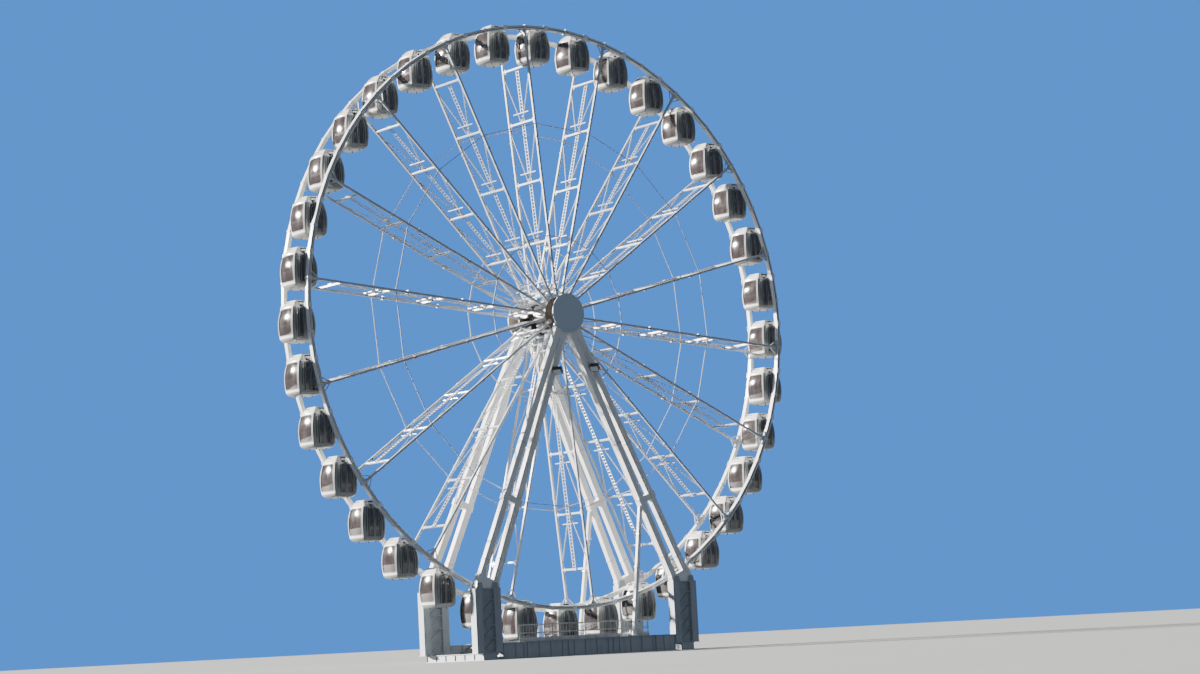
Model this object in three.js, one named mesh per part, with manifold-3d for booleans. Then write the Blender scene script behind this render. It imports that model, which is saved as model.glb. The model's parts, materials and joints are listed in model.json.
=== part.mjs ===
// A transportable observation wheel with 36 cabins, at half of its full size, in millimetres.
// Z is up, the axle runs along Y, and the origin is on the ground under the middle of the axle.
// Angles on the wheel are counted clockwise from the top, as seen from the front, which faces -Y.
import * as THREE from "three";
import { mergeVertices } from "three/addons/utils/BufferGeometryUtils.js";
import Module from "manifold-3d";

const wasm = await Module();
wasm.setup();

// Driving dimensions
const wheelRadius = 10400;
const hubHeight = 12050;
const cabinCount = 36;
const spokeCount = 18;
const spokesPerSector = 3;
const seatGap = 0.3;

// Rims: rectangular rings that carry the cabin pivots on their centre line
const rimPlane = 765;
const rimHeight = 135;
const rimWidth = 175;
const rimSegments = 72;

// Spokes: two chords in the rim planes, joined by rungs and V rods, tied to the next spoke
const chordWidth = 80;
const rungWidth = 68;
const rodRadius = 19;
const rodSides = 3;
const rodSpread = 50;
const rodSetback = 110;
const tieWidth = 20;
const rungRadii = [0.87, 0.68, 0.47, 0.26, 0.09].map((share) => share * wheelRadius);
const tieRadii = [0.665, 0.275].map((share) => share * wheelRadius);

// Hub: a drum with two flanges that hold the chords, on an axle that turns in the bearings
const axleRadius = 150;
const axleHalfLength = 1300;
const axleSides = 20;
const drumRadius = 330;
const drumHalfLength = 880;
const flangeRadius = 640;
const flangeWidth = 90;

// Legs: pairs of box beams that lean together at the bearings and lean out a little towards the ground
const legSlope = 0.45;
const legLean = 0.044;
const legHeadPlane = 1161;
const legHeadDistance = 640;
const legFootDrop = 0.925 * wheelRadius;
const legBeamWidth = 240;
const legBeamDepth = 205;
const legHeadSpacing = 250;
const legFootSpacing = 650;
const legPlateDrop = 0.635 * wheelRadius;
const legPlateHeight = 230;
const legPlateProud = 12;
const legHeadOverrun = 340;
const legFootOverrun = 200;

// Bearings and round covers at the two ends of the axle
const bearingDepth = 230;
const bearingRadius = 290;
const bearingShoulderAngle = -0.25;
const bearingArcPieces = 8;
const bearingSpigotRadius = 200;
const boreClearance = 5;
const coverRadius = 693;
const coverThickness = 45;
const coverFace = 1368;
const coverSides = 32;

// Props under the plates of the right legs
const propWidth = 130;
const propFootX = 0.19 * wheelRadius;
const propShoeHeight = 60;
const propOverrun = 300;

// Base: girders on the ground, foot towers under the legs
const girderHeight = 560;
const girderWidth = 300;
const towerDepth = 330;
const towerLedge = 90;
const tieBeamHeight = 240;
const tieBeamPlaces = [-propFootX, 0, propFootX];

// Boarding platforms on both sides of the trough that the cabins pass through
const deckHeight = 600;
const deckThickness = 60;
const deckInner = 560;
const deckOuter = 1410;
const deckHalfLength = 2850;
const deckLegWidth = 80;
const stepCount = 3;
const stepGoing = 280;
const fusedLap = 1;
const railHeight = 550;
const railWidth = 40;
const railSpacing = 1400;

// Cabins: rings of the body from the floor up, as height over the pivot, half width and half depth
const cabinRings = [
  { z: -1260, x: 300, y: 335 },
  { z: -1140, x: 410, y: 442 },
  { z: -620, x: 470, y: 500 },
  { z: -20, x: 360, y: 422 },
  { z: 200, x: 200, y: 310 },
];
const cabinWall = 28;
const cabinFloor = 60;
const cabinFlare = 45;
const cabinCeiling = -48;
const endWindow = { low: -985, high: -62, halfWidth: 385 };
const doorWindow = { low: -1040, high: -75, halfWidth: 245 };
const hangerWidth = 90;

// A length that reaches past any one leg, cabin or seat, for the solids that cut them
const cutReach = 2000;

const white = new THREE.Color(0.88, 0.89, 0.88);
const cream = new THREE.Color(0.86, 0.85, 0.8);
const slate = new THREE.Color(0.42, 0.46, 0.5);
const grey = new THREE.Color(0.55, 0.58, 0.6);

// Materials
function paint(color, roughness = 0.45, metalness = 0.1) {
  return new THREE.MeshStandardMaterial({ color, roughness, metalness });
}

// Solids from three.js geometries, and back
function solidOf(geometry) {
  const bare = geometry.clone();
  bare.deleteAttribute("normal");
  bare.deleteAttribute("uv");
  const merged = mergeVertices(bare, 1e-3);
  return new wasm.Manifold(
    new wasm.Mesh({
      numProp: 3,
      vertProperties: new Float32Array(merged.attributes.position.array),
      triVerts: new Uint32Array(merged.index.array),
    }),
  );
}

function geometryOf(solid) {
  const mesh = solid.getMesh();
  const geometry = new THREE.BufferGeometry();
  geometry.setAttribute("position", new THREE.BufferAttribute(mesh.vertProperties, 3));
  geometry.setIndex(new THREE.BufferAttribute(mesh.triVerts, 1));
  geometry.computeVertexNormals();
  return geometry;
}

function joined(solids) {
  return solids.reduce((whole, next) => whole.add(next));
}

function piece(name, solid, material) {
  const mesh = new THREE.Mesh(geometryOf(solid), material);
  mesh.name = name;
  return mesh;
}

// A box given by its lowest and highest corners
function block(low, high) {
  const size = high.map((value, axis) => value - low[axis]);
  const middle = high.map((value, axis) => (value + low[axis]) / 2);
  return solidOf(new THREE.BoxGeometry(...size).translate(...middle));
}

// A box centred on the Z axis, from one height to another
function centredBlock(halfX, halfY, low, high) {
  return block([-halfX, -halfY, low], [halfX, halfY, high]);
}

// A straight bar from start to end, its width measured along the across direction
function bar(start, end, width, depth, across) {
  const along = end.clone().sub(start);
  const length = along.length();
  along.normalize();
  const side = across.clone().addScaledVector(along, -across.dot(along)).normalize();
  const third = along.clone().cross(side);
  const turn = new THREE.Matrix4().makeBasis(side, third, along);
  turn.setPosition(start.clone().add(end).multiplyScalar(0.5));
  return solidOf(new THREE.BoxGeometry(width, depth, length).applyMatrix4(turn));
}

// A round rod drawn with few sides
function rod(start, end, radius, sides) {
  const along = end.clone().sub(start);
  const length = along.length();
  const turn = new THREE.Quaternion().setFromUnitVectors(new THREE.Vector3(0, 1, 0), along.normalize());
  const geometry = new THREE.CylinderGeometry(radius, radius, length, sides);
  geometry.applyQuaternion(turn);
  geometry.translate(...start.clone().add(end).multiplyScalar(0.5).toArray());
  return solidOf(geometry);
}

// A solid turned about the axle from a profile of [radius, y] points, closed on itself or on the axis
function turned(profile, segments, phase = 0) {
  const points = profile.map(([radius, y]) => new THREE.Vector2(radius, y));
  return solidOf(new THREE.LatheGeometry(points, segments, phase));
}

// A body stacked from rectangular rings
function stacked(rings) {
  const positions = [];
  const index = [];
  const corners = [[-1, -1], [1, -1], [1, 1], [-1, 1]];
  for (const ring of rings) {
    for (const [alongX, alongY] of corners) positions.push(alongX * ring.x, alongY * ring.y, ring.z);
  }
  for (let level = 0; level < rings.length - 1; level += 1) {
    for (let corner = 0; corner < 4; corner += 1) {
      const a = level * 4 + corner;
      const b = level * 4 + ((corner + 1) % 4);
      index.push(a, b, b + 4, a, b + 4, a + 4);
    }
  }
  const top = (rings.length - 1) * 4;
  index.push(0, 2, 1, 0, 3, 2);
  index.push(top, top + 1, top + 2, top, top + 2, top + 3);
  const geometry = new THREE.BufferGeometry();
  geometry.setAttribute("position", new THREE.Float32BufferAttribute(positions, 3));
  geometry.setIndex(index);
  return solidOf(geometry);
}

// A point on the wheel, in the wheel's own frame
function onWheel(radius, angle, y) {
  return new THREE.Vector3(radius * Math.sin(angle), y, radius * Math.cos(angle));
}

// Rims
function makeRim() {
  const inner = wheelRadius - rimHeight / 2;
  const outer = wheelRadius + rimHeight / 2;
  const half = rimWidth / 2;
  return turned([[inner, -half], [outer, -half], [outer, half], [inner, half], [inner, -half]], rimSegments);
}

// Spokes
const chordStart = flangeRadius + seatGap;
const chordEnd = wheelRadius - rimHeight / 2 - (chordWidth / 2) * Math.tan(Math.PI / rimSegments) - seatGap;
const axial = new THREE.Vector3(0, 1, 0);

function chord(angle, side, width) {
  const start = onWheel(chordStart, angle, side * rimPlane);
  const end = onWheel(chordEnd, angle, side * rimPlane);
  return bar(start, end, width, width, axial);
}

function makeSpoke(angle) {
  const parts = [chord(angle, -1, chordWidth), chord(angle, 1, chordWidth)];
  const radial = onWheel(1, angle, 0);
  rungRadii.forEach((radius, place) => {
    const ends = [-rimPlane, rimPlane].map((y) => onWheel(radius, angle, y));
    parts.push(bar(...ends, rungWidth, rungWidth, radial));
    if (place === 0) return;
    const outerRadius = rungRadii[place - 1] - rodSetback;
    for (const side of [-1, 1]) {
      const start = onWheel(radius, angle, side * rodSpread);
      const end = onWheel(outerRadius, angle, side * rimPlane);
      parts.push(rod(start, end, rodRadius, rodSides));
    }
  });
  return joined(parts);
}

function makeTies(firstAngle) {
  const nextAngle = firstAngle + (2 * Math.PI) / spokeCount;
  const ties = [];
  for (const side of [-1, 1]) {
    for (const radius of tieRadii) {
      const start = onWheel(radius, firstAngle, side * rimPlane);
      const end = onWheel(radius, nextAngle, side * rimPlane);
      ties.push(bar(start, end, tieWidth, tieWidth, axial));
    }
  }
  return joined(ties);
}

function makeSector() {
  const pitch = (2 * Math.PI) / spokeCount;
  const first = (-(spokesPerSector - 1) / 2) * pitch;
  const parts = [];
  for (let spoke = 0; spoke < spokesPerSector; spoke += 1) {
    parts.push(makeSpoke(first + spoke * pitch), makeTies(first + spoke * pitch));
  }
  const neighbour = first + spokesPerSector * pitch;
  const clearance = chordWidth + 2 * seatGap;
  return joined(parts).subtract(chord(neighbour, -1, clearance)).subtract(chord(neighbour, 1, clearance));
}

// Hub
function makeHub() {
  const flangeIn = rimPlane - flangeWidth / 2;
  const flangeOut = rimPlane + flangeWidth / 2;
  const half = [
    [axleRadius, axleHalfLength],
    [axleRadius, drumHalfLength],
    [drumRadius, drumHalfLength],
    [drumRadius, flangeOut],
    [flangeRadius, flangeOut],
    [flangeRadius, flangeIn],
    [drumRadius, flangeIn],
  ];
  const mirrored = half.map(([radius, y]) => [radius, -y]);
  const profile = [[0, -axleHalfLength], ...mirrored, ...half.reverse(), [0, axleHalfLength]];
  return turned(profile, axleSides);
}

// Legs, with the axle end of the leg at the wheel's centre and the foot below
function legPoint(side, face, drop, offset) {
  const x = side * legSlope * drop + offset;
  return new THREE.Vector3(x, face * (legHeadPlane + legLean * drop), hubHeight - drop);
}

function legAxis(side, face) {
  return legPoint(side, face, wheelRadius, 0).sub(legPoint(side, face, 0, 0)).normalize();
}

function spacingAt(drop) {
  return legHeadSpacing + ((legFootSpacing - legHeadSpacing) * drop) / legFootDrop;
}

function makeLeg(side, face) {
  const headDrop = legHeadDistance - legHeadOverrun;
  const footDrop = legFootDrop + legFootOverrun;
  const across = new THREE.Vector3(1, 0, 0);
  const parts = [-1, 1].map((half) => {
    const start = legPoint(side, face, headDrop, (half * spacingAt(headDrop)) / 2);
    const end = legPoint(side, face, footDrop, (half * spacingAt(footDrop)) / 2);
    return bar(start, end, legBeamWidth, legBeamDepth, across);
  });
  const axis = legAxis(side, face);
  const plates = [
    { drop: legPlateDrop, height: legPlateHeight },
    { drop: legFootDrop - legPlateHeight / 2, height: 2 * legPlateHeight },
    { drop: legHeadDistance, height: 2 * legPlateHeight },
  ];
  for (const plate of plates) {
    const middle = legPoint(side, face, plate.drop, 0);
    const start = middle.clone().addScaledVector(axis, -plate.height / 2);
    const end = middle.clone().addScaledVector(axis, plate.height / 2);
    const width = spacingAt(plate.drop) + legBeamWidth + 2 * legPlateProud;
    parts.push(bar(start, end, width, legBeamDepth + 2 * legPlateProud, across));
  }
  return joined(parts).subtract(headCut(side, seatGap)).subtract(footCut());
}

// Everything on the axle's side of a leg's head seat
function headCut(side, gap) {
  const axis = new THREE.Vector3(side * legSlope, 0, -1).normalize();
  const middle = new THREE.Vector3(0, 0, hubHeight);
  const seat = middle.clone().addScaledVector(axis, legHeadDistance + gap);
  const back = seat.clone().addScaledVector(axis, -2 * legHeadDistance);
  return bar(back, seat, 2 * cutReach, 2 * cutReach, axial);
}

function footCut() {
  const seat = hubHeight - legFootDrop + seatGap;
  return block([-wheelRadius, -wheelRadius, seat - cutReach], [wheelRadius, wheelRadius, seat]);
}

// Bearing housings: a round head over two slanted seats for the legs
function makeBearing(face) {
  const shape = new THREE.Shape();
  const lean = Math.atan(legSlope);
  const half = (spacingAt(legHeadDistance) + legBeamWidth) / 2 + 2 * legPlateProud;
  const reach = (legHeadDistance * Math.sin(lean)) / Math.cos(lean);
  const innerHalf = Math.min(half, reach);
  const seatCorner = (side, offset) => [
    side * (legHeadDistance * Math.sin(lean) + offset * Math.cos(lean)),
    -legHeadDistance * Math.cos(lean) + offset * Math.sin(lean),
  ];
  shape.moveTo(...seatCorner(1, -innerHalf));
  shape.lineTo(...seatCorner(1, half));
  const shoulder = bearingShoulderAngle;
  shape.lineTo(bearingRadius * Math.cos(shoulder), bearingRadius * Math.sin(shoulder));
  shape.absarc(0, 0, bearingRadius, shoulder, Math.PI - shoulder, false);
  shape.lineTo(...seatCorner(-1, half));
  if (innerHalf < reach) shape.lineTo(...seatCorner(-1, -innerHalf));
  const extrusion = { depth: bearingDepth, bevelEnabled: false, curveSegments: bearingArcPieces };
  const geometry = new THREE.ExtrudeGeometry(shape, extrusion);
  geometry.rotateX(Math.PI / 2);
  const middle = legHeadPlane + legLean * legHeadDistance;
  const inner = middle - bearingDepth / 2;
  geometry.translate(0, face > 0 ? inner + bearingDepth : -inner, 0);
  const spigotEnd = coverFace - coverThickness - seatGap;
  const ends = [face * middle, face * spigotEnd].sort((a, b) => a - b);
  const spigot = turned(
    [[0, ends[0]], [bearingSpigotRadius, ends[0]], [bearingSpigotRadius, ends[1]], [0, ends[1]]],
    axleSides,
  );
  const boreRadius = (axleRadius + seatGap) / Math.cos(Math.PI / axleSides);
  const boreEnd = face * (axleHalfLength + boreClearance);
  const boreEnds = [0, boreEnd].sort((a, b) => a - b);
  const bore = turned(
    [[0, boreEnds[0]], [boreRadius, boreEnds[0]], [boreRadius, boreEnds[1]], [0, boreEnds[1]]],
    axleSides,
    Math.PI / axleSides,
  );
  return solidOf(geometry).add(spigot).subtract(bore).translate([0, 0, hubHeight]);
}

// Round covers
function makeCover(face) {
  const ends = [face * (coverFace - coverThickness), face * coverFace].sort((a, b) => a - b);
  const profile = [[0, ends[0]], [coverRadius, ends[0]], [coverRadius, ends[1]], [0, ends[1]]];
  return turned(profile, coverSides).translate([0, 0, hubHeight]);
}

// Props
function makeProp(face) {
  const top = legPoint(1, face, legPlateDrop + legPlateHeight / 2, -spacingAt(legPlateDrop) / 2);
  const baseY = face * legFootPlane;
  const foot = new THREE.Vector3(propFootX, baseY, girderHeight - propOverrun);
  const head = top.clone().add(new THREE.Vector3(0, 0, propOverrun));
  const prop = bar(foot, head, propWidth, propWidth, axial);
  const shoe = block(
    [propFootX - propWidth, baseY - propWidth, girderHeight - propShoeHeight],
    [propFootX + propWidth, baseY + propWidth, girderHeight + propShoeHeight],
  );
  const across = new THREE.Vector3(1, 0, 0);
  const cutDrop = legPlateDrop - cutReach / 2;
  const plateEdge = legPlateDrop + legPlateHeight / 2 + seatGap;
  const legCut = bar(
    legPoint(1, face, cutDrop, 0),
    legPoint(1, face, plateEdge, 0),
    cutReach,
    cutReach / 2,
    across,
  );
  const beamCut = bar(
    legPoint(1, face, cutDrop, -spacingAt(cutDrop) / 2),
    legPoint(1, face, legFootDrop, -spacingAt(legFootDrop) / 2),
    legBeamWidth + 2 * seatGap,
    2 * legBeamDepth,
    across,
  );
  const ground = block([-wheelRadius, -wheelRadius, 0], [wheelRadius, wheelRadius, girderHeight + seatGap]);
  return joined([prop, shoe]).subtract(legCut).subtract(beamCut).subtract(ground);
}

// Base
const legFootX = legSlope * legFootDrop;
const legFootPlane = legHeadPlane + legLean * legFootDrop;
const towerTop = hubHeight - legFootDrop;
const towerHalfWidth = (legFootSpacing + legBeamWidth) / 2 + towerLedge;

function makeSideBase(side) {
  const middle = side * legFootX;
  const outerY = legFootPlane + towerDepth / 2;
  const parts = [
    block([middle - girderWidth, -outerY, 0], [middle + girderWidth, outerY, tieBeamHeight]),
  ];
  for (const face of [-1, 1]) {
    const centre = face * legFootPlane;
    parts.push(
      block(
        [middle - towerHalfWidth, centre - towerDepth / 2, 0],
        [middle + towerHalfWidth, centre + towerDepth / 2, towerTop],
      ),
    );
  }
  return joined(parts);
}

function makeCentreBase() {
  const reach = legFootX - towerHalfWidth - seatGap;
  const parts = [];
  for (const face of [-1, 1]) {
    const centre = face * legFootPlane;
    parts.push(block([-reach, centre - girderWidth / 2, 0], [reach, centre + girderWidth / 2, girderHeight]));
  }
  for (const x of tieBeamPlaces) {
    const outerY = legFootPlane;
    parts.push(block([x - girderWidth / 2, -outerY, 0], [x + girderWidth / 2, outerY, tieBeamHeight]));
  }
  return joined(parts);
}

// Boarding platforms
function makePlatform(face) {
  const near = face > 0 ? deckInner : -deckOuter;
  const far = face > 0 ? deckOuter : -deckInner;
  const deckBottom = deckHeight - deckThickness;
  const parts = [block([-deckHalfLength, near, deckBottom], [deckHalfLength, far, deckHeight])];
  const rows = [near + deckLegWidth / 2, far - deckLegWidth / 2];
  const endLeg = deckHalfLength - deckLegWidth / 2;
  for (const x of [-endLeg, -propFootX, -propFootX / 2, 0, propFootX / 2, propFootX, endLeg]) {
    const foot = tieBeamPlaces.includes(x) ? tieBeamHeight + seatGap : 0;
    for (const y of rows) {
      parts.push(
        block(
          [x - deckLegWidth / 2, y - deckLegWidth / 2, foot],
          [x + deckLegWidth / 2, y + deckLegWidth / 2, deckHeight - deckThickness / 2],
        ),
      );
    }
  }
  for (const side of [-1, 1]) {
    for (let step = 1; step <= stepCount; step += 1) {
      const top = deckHeight - (step * deckHeight) / (stepCount + 1);
      const from = deckHalfLength + (step - 1) * stepGoing;
      const to = from + stepGoing;
      const ends = [side * from, side * to].sort((a, b) => a - b);
      parts.push(block([ends[0] - fusedLap, near, 0], [ends[1] + fusedLap, far, top]));
    }
  }
  parts.push(makeRail(face));
  return joined(parts);
}

function makeRail(face) {
  const y = face * (deckOuter - railWidth);
  const half = railWidth / 2;
  const top = deckHeight + railHeight;
  const parts = [];
  for (const level of [top, deckHeight + railHeight / 2]) {
    parts.push(block([-deckHalfLength, y - half, level - railWidth], [deckHalfLength, y + half, level]));
  }
  const posts = Math.round(deckHalfLength / railSpacing);
  for (let post = -posts; post <= posts; post += 1) {
    const x = (post * (deckHalfLength - half)) / posts;
    parts.push(block([x - half, y - half, deckHeight - deckThickness / 2], [x + half, y + half, top - half]));
  }
  return joined(parts);
}

// Cabins, with the pivot line at the origin
function makeCabin() {
  const outer = stacked(cabinRings);
  const [floorRing, , widestRing, eavesRing] = cabinRings;
  const inside = stacked(
    [
      { z: floorRing.z + cabinFloor, x: floorRing.x + cabinFlare, y: floorRing.y + cabinFlare },
      widestRing,
      { z: cabinCeiling, x: eavesRing.x, y: eavesRing.y },
    ].map((ring) => ({ z: ring.z, x: ring.x - cabinWall, y: ring.y - cabinWall })),
  );
  const ends = centredBlock(cutReach, endWindow.halfWidth, endWindow.low, endWindow.high);
  const doors = centredBlock(doorWindow.halfWidth, cutReach, doorWindow.low, doorWindow.high);
  const pinEnd = rimPlane - rimWidth / 2 - seatGap;
  const hanger = centredBlock(hangerWidth / 2, pinEnd, -hangerWidth / 2, hangerWidth / 2);
  return outer.subtract(inside).subtract(ends).subtract(doors).add(hanger);
}

// Assembly
const wheel = new THREE.Group();
wheel.position.z = hubHeight;
const rim = makeRim();
for (const [name, face] of [["rim_front", -1], ["rim_back", 1]]) {
  const mesh = piece(name, rim, paint(white));
  mesh.position.y = face * rimPlane;
  wheel.add(mesh);
}
const sector = makeSector();
const sectorCount = spokeCount / spokesPerSector;
const firstSpokeAngle = Math.PI / cabinCount;
for (let place = 0; place < sectorCount; place += 1) {
  const mesh = piece("spokes_" + "abcdef"[place], sector, paint(white));
  mesh.rotation.y = (place * 2 * Math.PI) / sectorCount + (2 * Math.PI) / spokeCount - firstSpokeAngle;
  wheel.add(mesh);
}
wheel.add(piece("hub", makeHub(), paint(white, 0.4, 0.3)));

const cabin = makeCabin();
for (let place = 0; place < cabinCount; place += 1) {
  const mesh = piece("cabin_" + String(place + 1).padStart(2, "0"), cabin, paint(cream));
  mesh.position.copy(onWheel(wheelRadius, (place * 2 * Math.PI) / cabinCount, 0));
  wheel.add(mesh);
}

const stand = new THREE.Group();
for (const [faceName, face] of [["front", -1], ["back", 1]]) {
  stand.add(piece("bearing_" + faceName, makeBearing(face), paint(white, 0.4, 0.3)));
  stand.add(piece("hub_cover_" + faceName, makeCover(face), paint(slate, 0.6)));
  stand.add(piece("prop_" + faceName, makeProp(face), paint(white)));
  stand.add(piece("platform_" + faceName, makePlatform(face), paint(grey, 0.6, 0.3)));
  for (const [sideName, side] of [["left", -1], ["right", 1]]) {
    stand.add(piece("leg_" + faceName + "_" + sideName, makeLeg(side, face), paint(white)));
  }
}
stand.add(piece("base_left", makeSideBase(-1), paint(grey)));
stand.add(piece("base_right", makeSideBase(1), paint(grey)));
stand.add(piece("base_centre", makeCentreBase(), paint(grey)));

const observationWheel = new THREE.Group();
observationWheel.add(wheel, stand);

export default observationWheel;
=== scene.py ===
# Dresses the observation wheel: camera, light, finishes and every piece that shows.
# Metres, Z up, the axle along Y. Turns on the wheel run clockwise from the top, seen from the front at -Y.
import json
import bmesh
import bpy
from math import cos, pi, radians, sin, sqrt
from mathutils import Matrix, Vector

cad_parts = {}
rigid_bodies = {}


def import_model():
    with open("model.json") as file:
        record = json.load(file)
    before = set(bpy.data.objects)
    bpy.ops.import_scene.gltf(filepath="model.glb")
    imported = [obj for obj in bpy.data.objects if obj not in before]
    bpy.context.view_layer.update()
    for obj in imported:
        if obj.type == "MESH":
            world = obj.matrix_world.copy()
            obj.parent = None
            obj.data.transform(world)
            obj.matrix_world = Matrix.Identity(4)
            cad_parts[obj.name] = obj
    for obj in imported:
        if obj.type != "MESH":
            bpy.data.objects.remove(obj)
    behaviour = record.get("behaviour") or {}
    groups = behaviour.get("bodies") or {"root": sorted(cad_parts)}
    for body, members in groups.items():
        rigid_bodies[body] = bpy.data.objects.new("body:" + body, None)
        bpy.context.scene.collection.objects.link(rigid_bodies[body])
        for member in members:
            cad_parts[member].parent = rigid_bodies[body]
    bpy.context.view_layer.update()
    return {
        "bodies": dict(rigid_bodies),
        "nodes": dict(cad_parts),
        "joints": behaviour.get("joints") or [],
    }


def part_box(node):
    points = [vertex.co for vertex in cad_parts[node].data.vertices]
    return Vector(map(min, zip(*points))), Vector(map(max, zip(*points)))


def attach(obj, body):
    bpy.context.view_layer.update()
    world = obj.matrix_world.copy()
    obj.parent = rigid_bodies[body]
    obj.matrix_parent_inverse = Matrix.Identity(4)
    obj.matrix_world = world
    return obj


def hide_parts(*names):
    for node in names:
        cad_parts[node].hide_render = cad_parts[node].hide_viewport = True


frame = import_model()
scene = bpy.context.scene
pivots = {joint["child"]: Vector(joint["pos_m"]) for joint in frame["joints"]}
hub = pivots["wheel"]
cabinNames = sorted(name for name in frame["bodies"] if name.startswith("cabin_"))
wheelRadius = (pivots[cabinNames[0]] - hub).length
cabinTurn = 2 * pi / len(cabinNames)
spokeCount = len(cabinNames) // 2
spokeTurn = 2 * pi / spokeCount
firstSpoke = -cabinTurn / 2
rightWay, axleWay, upWay = (Vector(way) for way in ((1, 0, 0), (0, 1, 0), (0, 0, 1)))
both = (-1, 1)
faces = (("front", -1), ("back", 1))
print("frame loaded:", len(frame["nodes"]), "nodes")


def at(x, y, z):
    return Vector((x, y, z))


def addToScene(name, data):
    thing = bpy.data.objects.new(name, data)
    scene.collection.objects.link(thing)
    return thing


# Camera and light
view = {
    "place": (-56.80, -75.54, 0.532), "yaw": 0.6649, "pitch": 0.1129, "roll": -0.0520,
    "lens": 79.7, "sensor": 36, "farthest": 2000,
}


def makeCamera():
    data = bpy.data.cameras.new("photoView")
    data.lens, data.sensor_width, data.clip_end = view["lens"], view["sensor"], view["farthest"]
    camera = addToScene("photoView", data)
    yaw, pitch, roll = view["yaw"], view["pitch"], view["roll"]
    ahead = at(sin(yaw) * cos(pitch), cos(yaw) * cos(pitch), sin(pitch))
    level = at(cos(yaw), -sin(yaw), 0)
    over = level.cross(ahead)
    right = level * cos(roll) + over * sin(roll)
    top = over * cos(roll) - level * sin(roll)
    camera.matrix_world = Matrix((right, top, -ahead)).transposed().to_4x4()
    camera.location = view["place"]
    scene.camera = camera


light = {
    "sunWay": (0.52, -0.81, -0.28), "sunEnergy": 27, "sunAngle": 3.5, "sunColour": (1, 0.96, 0.89),
    "backdrop": (0.06, 0.30, 1.0), "fill": (0.160, 0.190, 0.235),
    "floorSize": 900, "floorColour": (0.34, 0.35, 0.36), "floorSpots": (0.30, 0.31, 0.32),
    "spotSize": 6, "floorRough": 0.85,
}


def makeLight():
    sun = bpy.data.lights.new("sun", "SUN")
    sun.energy, sun.angle, sun.color = light["sunEnergy"], radians(light["sunAngle"]), light["sunColour"]
    holder = addToScene("sun", sun)
    holder.rotation_mode = "QUATERNION"
    holder.rotation_quaternion = Vector(light["sunWay"]).to_track_quat("-Z", "Y")
    world = bpy.data.worlds.new("studioSky")
    world.use_nodes = True
    tree = world.node_tree
    seen = addNode(tree, "ShaderNodeLightPath", {}, "Is Camera Ray")  # a blue backdrop, a greyer soft fill
    sky = mixColours(tree, seen, light["fill"], light["backdrop"])
    fillIn(tree, tree.nodes["Background"], {"Color": sky})
    scene.world = world


# Node helpers: a value is a number, a colour or another node's output
def fillIn(tree, node, values):
    for name, value in values.items():
        socket = node.inputs[name]
        if isinstance(value, bpy.types.NodeSocket):
            tree.links.new(value, socket)
        else:
            socket.default_value = (*value, 1) if socket.type == "RGBA" else value


def addNode(tree, kind, values, output=0, **choices):
    node = tree.nodes.new(kind)
    for name, value in choices.items():
        setattr(node, name, value)
    fillIn(tree, node, values)
    return node.outputs[output]


def mixColours(tree, amount, first, second):
    return addNode(tree, "ShaderNodeMix", {0: amount, 6: first, 7: second}, 2, data_type="RGBA")


def spread(tree, value, fromLow, fromHigh, toLow, toHigh):
    limits = {"From Min": fromLow, "From Max": fromHigh, "To Min": toLow, "To Max": toHigh}
    return addNode(tree, "ShaderNodeMapRange", {"Value": value, **limits})


def noise(tree, place, size, detail=3.0, stretch=(1, 1, 1)):
    scaled = addNode(tree, "ShaderNodeMapping", {"Vector": place, "Scale": stretch})
    return addNode(tree, "ShaderNodeTexNoise", {"Vector": scaled, "Scale": 1 / size, "Detail": detail})


def bumped(tree, height, strength, distance):
    return addNode(tree, "ShaderNodeBump", {"Height": height, "Strength": strength, "Distance": distance})


def newLook(name):
    look = bpy.data.materials.new(name)
    look.use_nodes = True
    tree = look.node_tree
    return look, tree, tree.nodes["Principled BSDF"], addNode(tree, "ShaderNodeTexCoord", {}, "Object")


# Finishes, one for each slot of the record. Sizes are those of the pattern, "rough" runs from clean to worn
def paintLook(name, values):
    look, tree, shader, place = newLook(name)
    patches = noise(tree, place, values["patchSize"])
    runs = noise(tree, place, values["runSize"], 5, (1, 1, values["runStretch"]))
    grain = noise(tree, place, values["grainSize"], 2)
    shade = spread(tree, patches, 0.35, 0.7, 0, values["patchAmount"])
    dirt = spread(tree, runs, 0.55, 0.8, 0, values["runAmount"])
    paint = mixColours(tree, shade, values["colour"], values["patches"])
    fillIn(tree, shader, {
        "Base Color": mixColours(tree, dirt, paint, values["runs"]),
        "Roughness": spread(tree, runs, 0.3, 0.75, *values["rough"]),
        "Metallic": values["metal"],
        "Coat Weight": values["coat"],
        "Normal": bumped(tree, grain, *values["bump"]),
    })
    return look


def glassLook(name, values):
    look, tree, shader, place = newLook(name)
    smears = noise(tree, place, values["smearSize"], 4, (1, 1, 0.5))
    waves = noise(tree, place, values["waveSize"], 1)
    # The doorPane mark switches the door panes to a lighter blue-grey: painted reflection of bright
    # surroundings over the glass tint
    marked = addNode(tree, "ShaderNodeAttribute", {}, "Fac", attribute_name="doorPane")
    tintAndReflection = mixColours(tree, marked, values["colour"], values["doorTintAndReflection"])
    dusty = spread(tree, smears, 0.4, 0.75, 0, values["dust"])
    fillIn(tree, shader, {
        "Base Color": mixColours(tree, dusty, tintAndReflection, values["dustColour"]),
        "Roughness": spread(tree, smears, 0.35, 0.75, *values["rough"]),
        "Alpha": values["alpha"],
        "Coat Weight": 1,
        "Coat Roughness": values["coatRough"],
        "Normal": bumped(tree, waves, *values["bump"]),
    })
    look.surface_render_method = "BLENDED"
    return look


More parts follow.
